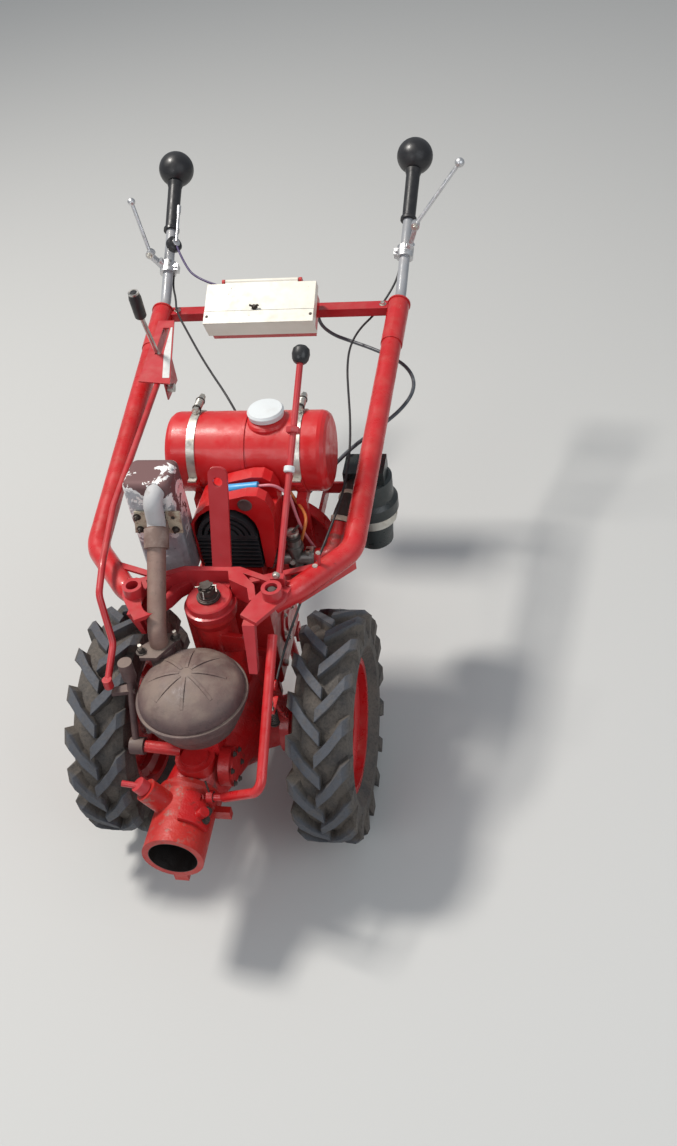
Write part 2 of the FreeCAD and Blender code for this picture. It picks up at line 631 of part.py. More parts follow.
def saddle(x):
    """A saddle bracket from the crankcase up and over the fan housing to the tank."""
    a, b = x - SADDLE_HALF, x + SADDLE_HALF
    front, back = BLOCK_BACK - 18, BLOCK_BACK - 2
    foot = BLOCK_TOP + SEAT
    side = [(front, foot), (back, foot), (back, HOUSING_TOP), (TANK_POS.y + 80, HOUSING_TOP),
            (TANK_POS.y + 80, TANK_POS.z - 30), (front, TANK_POS.z - 70)]
    plate = prism([(a, y, z) for y, z in side], ACROSS * (b - a))
    edge = half_block - 21
    plate = plate.fuse(box(min(a, edge), max(b, -edge), front, back, foot, foot + 12))
    start, end = V(a, TANK_POS.y, TANK_POS.z), V(b, TANK_POS.y, TANK_POS.z)
    cradle = rod(start, end, TANK_R + 4)
    ears = box(a, b, TANK_POS.y - TANK_R - 16, TANK_POS.y + TANK_R + 16, STRAP_LOW - 8, STRAP_LOW)
    cradle = cradle.fuse(ears)
    above = box(a, b, TANK_POS.y - 2 * TANK_R, TANK_POS.y + 2 * TANK_R, STRAP_LOW, STRAP_LOW + 2 * TANK_R)
    return plate.fuse(cradle).cut(above).cut(rod(start, end, TANK_R + FIT))


def strap(x):
    """A sheet strap over the tank, with its two bolted ears."""
    a, b = x - SADDLE_HALF + 2, x + SADDLE_HALF - 2
    start, end = V(a, TANK_POS.y, TANK_POS.z), V(b, TANK_POS.y, TANK_POS.z)
    low = STRAP_LOW + SEAT
    band = rod(start, end, TANK_R + 2.5)
    ears = box(a, b, TANK_POS.y - TANK_R - 16, TANK_POS.y + TANK_R + 16, low, low + 4)
    below = box(a, b, TANK_POS.y - 2 * TANK_R, TANK_POS.y + 2 * TANK_R, low - 2 * TANK_R, low)
    return band.fuse(ears).cut(below).cut(rod(start, end, TANK_R + FIT))


for side, word in ((-1, "left"), (1, "right")):
    saddle_x = TANK_POS.x + side * SADDLE_SHARE * TANK_LEN
    add("tank_saddle_" + word, saddle(saddle_x))
    add("tank_strap_" + word, strap(saddle_x))


# Exhaust: pot on the nose, pipe, clamp, elbow and the upper silencer box.
def crown_z(r):
    """Height of the dome's crown above the seam at a distance from its axis."""
    return DOME_H - DOME_R + math.sqrt(DOME_R ** 2 - r ** 2)


def pot_form(skin):
    """The pot as a solid of revolution, smaller by a skin: crown, shoulder and dish."""
    crown = DOME_R - skin
    lean = math.asin(0.6)
    edge_r = DOME_R * math.sin(lean)
    shoulder = (crown_z(edge_r) - RIDGE) / math.cos(lean)
    turn_r = edge_r - shoulder * math.sin(lean)
    bend = shoulder - skin
    wall = turn_r + bend

    def spot(r, z):
        return POT_POS + V(r, 0, z)

    def crown_spot(a):
        return spot(crown * math.sin(a), DOME_H - DOME_R + crown * math.cos(a))

    def shoulder_spot(a):
        return spot(turn_r + bend * math.sin(a), RIDGE + bend * math.cos(a))

    upright = math.pi / 2
    edges = [Part.Arc(crown_spot(0), crown_spot(lean / 2), crown_spot(lean)).toShape(),
             Part.Arc(shoulder_spot(lean), shoulder_spot((lean + upright) / 2), shoulder_spot(upright)).toShape()]
    line = [spot(wall, RIDGE), spot(wall, -RIDGE), spot(wall - 6, -34), spot(88 - skin, -84),
            spot(60 - skin, skin - POT_DEPTH), spot(0, skin - POT_DEPTH), crown_spot(0)]
    for p, q in zip(line, line[1:]):
        edges.append(Part.LineSegment(p, q).toShape())
    return Part.Face(Part.Wire(edges)).revolve(POT_POS, UP, 360)


def pot():
    """The pot with its seam, the neck for the pipe and the pressed ribs on its crown."""
    seam = turned([(-RIDGE, 0), (-RIDGE, POT_R), (RIDGE - 1, POT_R), (RIDGE, POT_R - 2), (RIDGE, 0)],
                  POT_POS, UP, ACROSS)
    parts = [seam, rod(V(NECK_AT.x, NECK_AT.y, POT_POS.z - 12), NECK_AT, 30)]
    top_line = [(14, 0.8), (28, 2.4), (46, 2.8), (64, 2.4), (86, 0.8)]
    side = [(r, crown_z(r) + lift) for r, lift in top_line]
    side += [(r, crown_z(r) - 2) for r in (86, 64, 46, 28, 14)]
    for k in range(8):
        a = math.radians(5 + k * 45)
        way, across = V(math.cos(a), math.sin(a), 0), V(-math.sin(a), math.cos(a), 0)
        points = [POT_POS + way * r + UP * z - across * 3.5 for r, z in side]
        parts.append(prism(points, across * 7))
    return pot_form(0).fuse(parts).cut(pot_form(3))


POT_SOLID = pot_form(0)
add("silencer_pot", pot())
pot_foot = box(POT_POS.x - 45, POT_POS.x + 45, POT_POS.y - 45, POT_POS.y + 45, SLEEVE_Z + 50, POT_POS.z - 50)
add("pot_bracket", pot_foot.cut(CASE).cut(POT_SOLID))
flange_low = NECK_AT.z + SEAT
PIPE_LOW = V(NECK_AT.x, NECK_AT.y, flange_low)
PIPE_BEND = PIPE_LOW + UP * 34
PIPE_TOP = V(-114, 120, AXLE_Z + 524)
flange_outline = [(-145, -80), (-134, -110), (-95, -109), (-67, -62), (-56, -40), (-64, -32), (-100, -34)]
flange_plate = flat(flange_outline, flange_low, flange_low + 9)
add("pipe_flange", flange_plate.cut(rod(PIPE_LOW - UP * 5, PIPE_LOW + UP * 30, PIPE_R + FIT)))
add("exhaust_pipe", bent([PIPE_LOW, PIPE_BEND, PIPE_TOP], [40], PIPE_R, PIPE_WALL))
pipe_way = (PIPE_TOP - PIPE_BEND).normalize()
elbow_low = PIPE_TOP + pipe_way * SEAT
elbow_turn = elbow_low + pipe_way * 10.6
inlet_z = AXLE_Z + 598
elbow_points = [elbow_low, elbow_turn, V(-110, elbow_turn.y, inlet_z), V(-106, MUFFLER_LOW.y + 26, inlet_z)]
ELBOW_BENDS = [PIPE_R + 1, PIPE_R + 1]
add("exhaust_elbow", bent(elbow_points, ELBOW_BENDS, PIPE_R, PIPE_WALL))


def silencer_box(inset):
    """The upper silencer, a sheet box with rounded corners and a seam on top."""
    size = MUFFLER_SIZE - V(2, 2, 2) * inset
    shell = Part.makeBox(size.x, size.y, size.z, MUFFLER_LOW + V(1, 1, 1) * inset)
    top_z = MUFFLER_LOW.z + MUFFLER_SIZE.z
    shell = rounded(shell, 18 - inset, lambda e: runs(e, UP))
    return rounded(shell, 16 - inset, lambda e: e.BoundBox.ZMin > top_z - inset - 12)


elbow_hull = bent(elbow_points, ELBOW_BENDS, PIPE_R + FIT)
add("silencer_box", silencer_box(0).cut(silencer_box(SHEET)).cut(elbow_hull))
clamp_y = MUFFLER_LOW.y - SEAT
clamp_plate = prism([(x, clamp_y, AXLE_Z + z) for x, z in ((-168, 548), (-62, 548), (-66, 486), (-180, 486))],
                    -BACKWARD * 5)
middle = PIPE_TOP - pipe_way * 28
saddle_ring = rod(middle - pipe_way * 20, middle + pipe_way * 24, PIPE_R + 7)
clamp_body = clamp_plate.fuse([saddle_ring, box(-134, -94, clamp_y - 38, clamp_y, AXLE_Z + 500, AXLE_Z + 528)])
pipe_line = rod(PIPE_BEND, PIPE_TOP + pipe_way * 60, PIPE_R + FIT)
add("exhaust_clamp", clamp_body.cut(pipe_line).cut(elbow_hull).cut(
    box(-300, 0, MUFFLER_LOW.y - SEAT, MUFFLER_LOW.y + 90, AXLE_Z, AXLE_Z + 700)))


# Handlebar: turret cap, yoke, tubes, crossbar, grips and levers.
def yoke():
    low = POST_TOP + SEAT
    cap = turned([(low, SPINDLE_R + FIT), (low, CAP_R + 2), (POST_TOP + 12, CAP_R + 2),
                  (POST_TOP + 14, CAP_R - 4), (POST_TOP + CAP_T - 3, CAP_R - 6),
                  (POST_TOP + CAP_T, CAP_R - 10), (POST_TOP + CAP_T, SPINDLE_R + FIT)],
                 V(0, POST_Y, 0), UP, ACROSS)
    wall_low, under = POST_TOP + 10, PLATE_TOP - PLATE_T
    back = flat([(-190, 34), (-60, 88), (60, 88), (190, 34), (190, 48), (66, 102), (-66, 102), (-190, 48)],
                wall_low, PLATE_TOP)
    link = flat([(-40, 70), (40, 70), (40, 96), (-40, 96)], wall_low, wall_low + 18)
    left_arm = flat([(-52, 88), (-76, 66), (-92, 34), (-132, -10), (-132, -30), (-154, -30), (-150, 0),
                     (-106, 40), (-90, 90)], POST_TOP - 2, POST_TOP + 28)
    right_arm = flat([(40, 88), (48, 60), (95, 34), (108, -5), (122, 0), (110, 44), (70, 88)],
                     wall_low, PLATE_TOP)
    side_plate = [(97, -49), (137, -73), (186, 0), (196, 42), (170, 62), (146, 56), (116, 4)]
    pieces = [back, link, left_arm, right_arm]
    for s in (-1, 1):
        boss = V(s * YOKE_BOSS.x, YOKE_BOSS.y, under)
        pieces += [flat([(s * x, y) for x, y in side_plate], under, PLATE_TOP),
                   rod(boss, boss + UP * (PLATE_T + 26), 23),
                   flat([(s * 172, 28), (s * 190, 28), (s * 190, 60), (s * 172, 60)], wall_low, PLATE_TOP),
                   flat([(s * 92, 70), (s * 99, 56), (s * 282, 121), (s * 276, 135)], under, under + 6)]
    tip = tapered([(104, -72, under), (132, -72, under), (132, -54, under), (104, -54, under)],
                  [(112, -118, under - 104), (131, -118, under - 104), (131, -100, under - 104),
                   (112, -100, under - 104)])
    left_tip = tapered([(-164, -46, under), (-142, -46, under), (-142, -20, under), (-164, -20, under)],
                       [(-148, -38, under - 70), (-137, -38, under - 70), (-137, -22, under - 70),
                        (-148, -22, under - 70)])
    body = cap.fuse(pieces + [tip, left_tip])
    for s in (-1, 1):
        boss = V(s * YOKE_BOSS.x, YOKE_BOSS.y, under - 8)
        body = body.cut(rod(boss, boss + UP * 60, 14))
    bar = box(-2, 42, 84, 92, 0, 286)
    bar = rounded(bar, 18, lambda e: runs(e, BACKWARD) and e.BoundBox.ZMin > 200)
    bar = bar.cut(rod(V(20, 60, 252), V(20, 120, 252), 11))
    bar.rotate(V(20, 92, 0), BACKWARD, 3.6)
    bar.rotate(V(20, 92, 0), ACROSS, -18.75)
    bar.translate(UP * (wall_low + 6))
    room = bent([PIPE_LOW, PIPE_BEND, PIPE_TOP], [40], PIPE_R + PASS)
    return body.fuse(bar).cut(room)


add("handlebar_yoke", yoke())
for s, word in ((-1, "left"), (1, "right")):
    bend = V(s * BAR_X, 188, BAR_Z)
    corner = V(s * CORNER.x, CORNER.y, CORNER.z)
    reach = (corner - bend).normalize()
    joint = corner - reach * 38
    start = V(s * 150, 22, BAR_Z - 10)
    elbow = V(s * 200, 52, BAR_Z)
    bore = bent([start, elbow, bend, joint], [60, 90], TUBE_R - TUBE_WALL)
    side_way = (bend - elbow).cross(UP).normalize() * 4
    gusset = prism([p - side_way for p in (elbow, bend, bend - UP * 56, elbow - UP * 40)], side_way * 2)
    tube = bent([start, elbow, bend, joint], [60, 90], TUBE_R).fuse([
        gusset, rod(joint - reach * 168, joint, TUBE_R + 2.5)])
    tube = tube.cut(bore).fuse(ring(joint - reach * COLLAR, joint, TUBE_R + 5, GRIP_TUBE_R + FIT))
    add("handle_tube_" + word, tube.cut(NODES["handlebar_yoke"]))
    root = V(s * GRIP_ROOT.x, GRIP_ROOT.y, GRIP_ROOT.z)
    end = V(s * GRIP_END.x, GRIP_END.y, GRIP_END.z)
    add("grip_tube_" + word, bent([joint - reach * 30, corner, root], [60], GRIP_TUBE_R, PIPE_WALL))
    heading = (end - root).normalize()
    grip = [(0, 0), (0, 23), (8, 23), (12, 19), (150, 20), (165, 24), (165, 0)]
    add("grip_" + word, turned(grip, root, heading, ACROSS).fuse(Part.makeSphere(BALL_R, end)))
cross = box(-CORNER.x + 20, CORNER.x - 20, CORNER.y - 63, CORNER.y - 23, CORNER.z - 27.3, CORNER.z - 3.3)
for word in ("left", "right"):
    cross = cross.cut(NODES["handle_tube_" + word])
CROSS = max(cross.Solids, key=lambda piece: piece.Volume)

Lever = namedtuple("Lever", "word clamp pivot tip ball")
TWIST = (GRIP_ROOT - CORNER).normalize()
for lever in (Lever("left", 0.47, V(-390, 1180, BAR_Z + 252), V(-421, 1212, BAR_Z + 396), 11),
              Lever("right", 0.56, V(382, 1200, BAR_Z + 294), V(508, 1228, BAR_Z + 451), 13)):
    s = 1 if lever.word == "right" else -1
    way = V(s * TWIST.x, TWIST.y, TWIST.z)
    spot = V(s * CORNER.x, CORNER.y, CORNER.z) + (GRIP_ROOT - CORNER).Length * lever.clamp * way
    clamp = rod(spot - way * 17, spot + way * 17, GRIP_TUBE_R + 9)
    blade = rod(lever.pivot, lever.tip, 5.5).fuse(Part.makeSphere(lever.ball, lever.tip))
    arm = tapered([spot + V(s * 2, -12, 0), spot + V(s * 14, -12, 0), spot + V(s * 14, 12, 0), spot + V(s * 2, 12, 0)],
                  [lever.pivot + V(-7, -9, -6), lever.pivot + V(7, -9, -6), lever.pivot + V(7, 9, -6),
                   lever.pivot + V(-7, 9, -6)])
    hub = rod(lever.pivot - BACKWARD * 11, lever.pivot + BACKWARD * 11, 12)
    piece = clamp.fuse([arm, hub, blade])
    piece = piece.cut(rod(spot - way * 60, spot + way * 60, GRIP_TUBE_R + FIT))
    add("hand_lever_" + lever.word, piece.cut(NODES["grip_tube_" + lever.word]))


# Toolbox on the crossbar, with its hinged ivory lid.
def tilted(shape):
    out = shape.copy()
    out.rotate(BOX_BACK, ACROSS, BOX_TILT)
    return out


hinge_at = BOX_BACK + V(0, 8, -4)
tray_top = BOX_BACK.z - LID_T - SEAT


def hinge_rod(reach, r):
    return rod(hinge_at - ACROSS * reach, hinge_at + ACROSS * reach, r)


def tray():
    """Open-topped tray with the hinge pin in two ears on its back wall."""
    w = BOX_W - 2 * (LID_T + LID_GAP)
    back = BOX_BACK.y - LID_T - 3
    low = V(BOX_X - w / 2, back - TRAY_D, tray_top - TRAY_H)
    body = Part.makeBox(w, TRAY_D, TRAY_H, low)
    body = body.cut(Part.makeBox(w - 2 * TRAY_T, TRAY_D - 2 * TRAY_T, TRAY_H, low + V(1, 1, 1) * TRAY_T))
    parts = [hinge_rod(HINGE_SPAN + 10, HINGE_R)]
    for k in (-1, 1):
        x = BOX_X + k * (HINGE_SPAN + 6)
        parts.append(box(x - 4, x + 4, back - 0.5, hinge_at.y + 6, hinge_at.z - 16, tray_top - 1))
        parts.append(rod(V(x - 4, hinge_at.y, hinge_at.z), V(x + 4, hinge_at.y, hinge_at.z), BARREL_R))
    return body.fuse(parts)


def lid():
    """Lid with side skirts and a front lip, and the hinge barrel at its back."""
    low = BOX_BACK - V(BOX_W / 2, LID_D, LID_H)
    body = Part.makeBox(BOX_W, LID_D, LID_H, low)
    body = body.cut(Part.makeBox(BOX_W - 2 * LID_T, LID_D, LID_H - LID_T, low + V(LID_T, LID_T, 0)))
    lip = LID_H / 2
    body = body.cut(Part.makeBox(BOX_W, LID_D, lip, low + V(0, 2 * LID_T, 0)))
    span = HINGE_SPAN
    leaf = box(BOX_X - span, BOX_X + span, BOX_BACK.y - 6, hinge_at.y, BOX_BACK.z - LID_T, BOX_BACK.z)
    leaf = leaf.fuse(hinge_rod(span, BARREL_R)).cut(hinge_rod(span + 20, HINGE_R + FIT))
    return body.fuse(leaf)


shelf_z = tray_top - TRAY_H - SEAT
CROSS = CROSS.fuse([tilted(box(BOX_X + k * 90 - 14, BOX_X + k * 90 + 14, BOX_BACK.y - 60, BOX_BACK.y - 8,
                               shelf_z - 24, shelf_z)) for k in (-1, 1)])
add("crossbar", CROSS)
add("toolbox_tray", tilted(tray()))
add("toolbox_lid", tilted(lid()))
HINGE = tilted(Part.Vertex(hinge_at)).Point


# Shift lever and rod on the right, gate, gate lever and control rod on the left.
lever_foot, lever_head = V(165, 56, PLATE_TOP + 13), V(193, 445, BAR_Z + 350)
stem_way = (lever_head - lever_foot).normalize()
stick = rod(lever_foot, lever_head, 7.5)
knob = [(0, 0), (0, 12), (8, 17), (30, 18), (38, 14), (41, 6), (41, 0)]
stick = stick.fuse([turned(knob, lever_head - stem_way * 10, stem_way, ACROSS),
                    rod(lever_head - stem_way * 340, lever_head - stem_way * 326, 11),
                    rod(lever_head - stem_way * 242, lever_head - stem_way * 232, 12),
                    flat([(150, 40), (180, 40), (180, 58), (150, 58)], PLATE_TOP + SEAT, PLATE_TOP + 22)])
for word in ("handle_tube_right", "handlebar_yoke"):
    stick = stick.cut(NODES[word])
add("shift_lever", stick)
eye_at = V(SLEEVE_X + 102, BOSS_Y + 12, SLEEVE_Z + 66)
shift = bent([V(160, -50, POST_TOP + 3), V(160, -338, SLEEVE_Z + 139), eye_at], [30], 11)
add("shift_rod", shift.fuse(rod(eye_at + ACROSS * 4, eye_at - ACROSS * 40, 9 - SEAT)))

GATE_AT = V(-290, 790, BAR_Z + 150)
GATE_TILT = 9.4


def gate():
    """Gate plate along the left tube, with its slot, side wall and lower pivot tab."""
    x, y, z = GATE_AT
    top_plate = flat([(-316, y - 100), (-226, y - 112), (-270, y + 142), (-316, y + 142)], z, z + 4)
    slot = box(x - 5, x + 13, y + 4, y + 112, z - 10, z + 10)
    outer_wall = box(-316, -312, y + 10, y + 130, z - 38, z + 4)
    plate = top_plate.cut(slot).fuse(outer_wall)
    plate.rotate(GATE_AT, ACROSS, GATE_TILT)
    inner_wall = box(-303, -299, y + 30, y + 128, z - 160, z + 7)
    plate = plate.cut(NODES["handle_tube_left"])
    return plate.fuse(inner_wall.cut(NODES["handle_tube_left"]))


add("gate_plate", gate())
gate_low = V(-292, 835, BAR_Z + 20)
gate_mid = V(-290, 800, BAR_Z + 160)
gate_high = V(-290, 758, BAR_Z + 290)
handle = rod(gate_low, gate_mid, 6).fuse([
    Part.makeSphere(6, gate_mid), rod(gate_mid, gate_high, 6),
    rod(gate_high, gate_high + V(0, -9, 74), 14),
    rod(V(-299 + SEAT, gate_low.y, gate_low.z), gate_low + ACROSS * 12, 12)])
add("gate_lever", handle.cut(NODES["gate_plate"]))
rod_end = V(-208, -147, POT_POS.z + 20)
control = bent([V(-268, 812, GATE_AT.z + 22), V(-268, 760, GATE_AT.z - 18), V(-262, 240, BAR_Z + 86),
                V(-240, 60, BAR_Z + 65), V(-236, -6, BAR_Z + 34), V(-209, -66, BAR_Z - 60), rod_end],
               [30, 150, 60, 40, 30], 8)
control = control.fuse(rod(rod_end + UP * 10, rod_end - UP * 14, 11))
control = control.cut(NODES["gate_plate"]).cut(NODES["gate_lever"])
add("control_rod", control)

# Brake arm on the right axle tube, with its eye for the cable.
ring_at = V(126, 0, AXLE_Z)
arm_outline = [(-100, 214), (-78, 246), (-58, 240), (-56, 204), (-26, 120), (26, 46), (-26, 40), (-60, 110),
               (-92, 190)]
brake = ring(ring_at, ring_at + ACROSS * 22, AXLE_TUBE_ROOT_R + 4, AXLE_TUBE_R + 9)
brake = brake.fuse(prism([(138, y, AXLE_Z + z) for y, z in arm_outline], ACROSS * 8))
brake = brake.fuse(rod(V(132, -76, AXLE_Z + 226), V(152, -76, AXLE_Z + 226), 13))
brake = brake.fuse(ring(ring_at, ring_at + ACROSS * 8, AXLE_TUBE_R + 14, AXLE_TUBE_R - 4))
add("brake_arm", brake.cut(CASE))


# Cables and the spark plug lead, held at both ends.
CABLE_R = 3.0
LOOM_R = 5.0
LEAD_R = 3.5
fan_back = fan_face + FAN_T
lead_way = V(78, 0, 9).normalize()
lead_at = plug_foot + V(76, 0, 40)
coil_at = V(FAN_X + 103, fan_face, FAN_Z - 11)
add("spark_lead", cable([lead_at, lead_at + lead_way * 38, lead_at + V(67, 10, -33), lead_at + V(70, 24, -108),
                         lead_at + V(79, 30, -168), coil_at + V(-2, -48, 41), coil_at + V(0, -34, 4), coil_at],
                        LEAD_R))


def leaves(s, share):
    """Where a cable leaves the clamp of a hand lever, low on its inner side, and its heading there."""
    way = V(s * TWIST.x, TWIST.y, TWIST.z)
    inner = (way * (s * way.x) - ACROSS * s).normalize()
    below = (way * way.z - UP).normalize()
    spot = V(s * CORNER.x, CORNER.y, CORNER.z) + (GRIP_ROOT - CORNER).Length * share * way
    return spot - way * (17 + SEAT) + (inner + below).normalize() * (GRIP_TUBE_R + 4.5), way * -1


left_out, left_way = leaves(-1, 0.47)
governor_at = V(60, fan_back, FAN_Z + 85)
add("clutch_cable", cable([left_out, left_out + left_way * 34, V(-310, 1086, BAR_Z + 157), V(-286, 1002, BAR_Z + 163),
                           V(-230, 905, BAR_Z + 152), V(-174, 805, BAR_Z + 146), V(-119, 712, BAR_Z + 144),
                           V(-66, 630, BAR_Z + 138), V(-26, 575, BAR_Z + 108), V(4, 543, BAR_Z + 56),
                           V(30, 500, BAR_Z + 4), V(50, 446, BAR_Z - 30), governor_at + V(0, 34, 0), governor_at],
                          CABLE_R))
right_out, right_way = leaves(1, 0.56)
eye_back = V(149.8, -63 + SEAT, AXLE_Z + 226)
add("brake_cable", cable([right_out, right_out + right_way * 36, V(316, 1116, BAR_Z + 150),
                          V(272, 1058, BAR_Z + 107), V(234, 985, BAR_Z + 103), V(217, 900, BAR_Z + 99),
                          V(222, 806, BAR_Z + 92), V(238, 706, BAR_Z + 80), V(255, 604, BAR_Z + 62),
                          V(265, 504, BAR_Z + 42), V(266, 408, BAR_Z + 25), V(256, 314, BAR_Z + 10),
                          V(234, 222, BAR_Z - 18), V(204, 134, BAR_Z - 60), V(176, 62, BAR_Z - 110),
                          V(157, 2, BAR_Z - 152), V(149.8, -34, BAR_Z - 171), eye_back], CABLE_R))
under_bar = V(110, CORNER.y - 43, CORNER.z - 27.3 - SEAT)
coil_back = V(146, fan_back, FAN_Z + 100)
add("switch_lead", cable([under_bar, under_bar - UP * 30, V(150, 1012, BAR_Z + 70), V(206, 980, BAR_Z + 67),
                          V(264, 948, BAR_Z + 64), V(322, 910, BAR_Z + 60), V(370, 866, BAR_Z + 57),
                          V(398, 812, BAR_Z + 49), V(398, 758, BAR_Z + 39), V(374, 704, BAR_Z + 30),
                          V(338, 648, BAR_Z + 27), V(300, 594, BAR_Z + 27), V(260, 544, BAR_Z + 22),
                          V(222, 494, BAR_Z + 8), V(190, 444, BAR_Z - 6), V(160, 408, BAR_Z - 20),
                          coil_back + V(0, 20, 0), coil_back], LOOM_R))


# Parking stand under the engine, folded down.
ground = AXLE_Z - TYRE_D / 2 + STAND_R
foot_y = STAND_Y - 25
legs = [rod(V(s * 70, STAND_Y, STAND_Z), V(s * 100, foot_y, ground), STAND_R) for s in (-1, 1)]
legs.append(rod(V(-130, foot_y, ground), V(130, foot_y, ground), STAND_R))
add("stand", rod(V(-108, STAND_Y, STAND_Z), V(108, STAND_Y, STAND_Z), STAND_R).fuse(legs))
ears = [box(s * 100 - 4, s * 100 + 4, STAND_Y - 18, STAND_Y + 18, STAND_Z - 18, BLOCK_LOW) for s in (-1, 1)]
ears.append(box(-104, 104, STAND_Y - 18, STAND_Y + 18, BLOCK_LOW - 5, BLOCK_LOW))
bracket = ears[0].fuse(ears[1:])
add("stand_bracket", bracket.cut(rod(V(-120, STAND_Y, STAND_Z), V(120, STAND_Y, STAND_Z), STAND_R + FIT)))

# The origin moves to the bottom centre of the whole machine.
whole = Part.makeCompound(list(NODES.values())).BoundBox
SHIFT = V(-(whole.XMin + whole.XMax) / 2, -(whole.YMin + whole.YMax) / 2, -whole.ZMin)
print("shift", SHIFT, "lid hinge", HINGE + SHIFT)
os.makedirs("parts", exist_ok=True)
for name, shape in NODES.items():
    moved = shape.copy()
    moved.translate(SHIFT)
    moved.exportStep("parts/" + name + ".step")
    print(name, shape.ShapeType, len(shape.Solids), shape.isValid(), round(shape.Volume / 1000.0, 1))
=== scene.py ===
"""Looks of the walking tractor: materials, fasteners, cables, floor, lights and camera.

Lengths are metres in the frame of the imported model.  at(x, y, z) takes
millimetres measured from the wheel axle, the median plane and the ground,
because the machine's own sizes are known from there.
"""
import json
import math

import bmesh
import bpy
from mathutils import Matrix, Vector


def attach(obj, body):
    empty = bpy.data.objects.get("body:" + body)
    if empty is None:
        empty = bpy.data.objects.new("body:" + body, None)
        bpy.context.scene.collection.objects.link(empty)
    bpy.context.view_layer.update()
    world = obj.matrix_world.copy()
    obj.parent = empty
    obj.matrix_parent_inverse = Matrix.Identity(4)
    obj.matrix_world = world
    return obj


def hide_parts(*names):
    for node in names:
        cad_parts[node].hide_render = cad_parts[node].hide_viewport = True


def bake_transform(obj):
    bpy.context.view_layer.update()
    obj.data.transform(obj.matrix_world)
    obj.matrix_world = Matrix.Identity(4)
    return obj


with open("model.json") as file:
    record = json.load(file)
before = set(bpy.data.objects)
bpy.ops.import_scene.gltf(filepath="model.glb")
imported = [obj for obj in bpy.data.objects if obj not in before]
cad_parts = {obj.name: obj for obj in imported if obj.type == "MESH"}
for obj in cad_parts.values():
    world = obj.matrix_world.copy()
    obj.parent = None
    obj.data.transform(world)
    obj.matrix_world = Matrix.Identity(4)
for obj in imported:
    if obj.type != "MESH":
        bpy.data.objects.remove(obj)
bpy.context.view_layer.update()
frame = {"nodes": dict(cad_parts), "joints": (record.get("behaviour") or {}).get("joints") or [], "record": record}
NODES = frame["nodes"]
JOINTS = {j["name"]: j for j in frame["joints"]}
ORIGIN = Vector((JOINTS["handlebar_swing"]["pos_m"][0], JOINTS["wheel_left_spin"]["pos_m"][1], 0))


def at(x, y, z):
    """A point given in millimetres from the axle, the median plane and the ground."""
    return ORIGIN + Vector((x, y, z)) * 0.001


# Camera: place, turn and focal length of the photograph, from its fitted view.
PHOTO_W, PHOTO_H = 677, 1146
FOCAL_PX = 1090.1
CAMERA_AT = ORIGIN + Vector((0.7284, -1.6357, 2.3344))
YAW, PITCH, ROLL = -0.2473, 0.7429, -0.1556


def make_camera():
    data = bpy.data.cameras.new("camera")
    data.sensor_width = 36.0
    data.lens = FOCAL_PX * data.sensor_width / PHOTO_H
    forward = Vector((math.sin(YAW) * math.cos(PITCH), math.cos(YAW) * math.cos(PITCH), -math.sin(PITCH)))
    right = Vector((math.cos(YAW), -math.sin(YAW), 0))
    up = right.cross(forward)
    right, up = (right * math.cos(ROLL) + up * math.sin(ROLL),
                 up * math.cos(ROLL) - right * math.sin(ROLL))
    camera = bpy.data.objects.new("camera", data)
    camera.matrix_world = Matrix.Translation(CAMERA_AT) @ Matrix((right, up, -forward)).transposed().to_4x4()
    bpy.context.scene.collection.objects.link(camera)
    bpy.context.scene.camera = camera


make_camera()


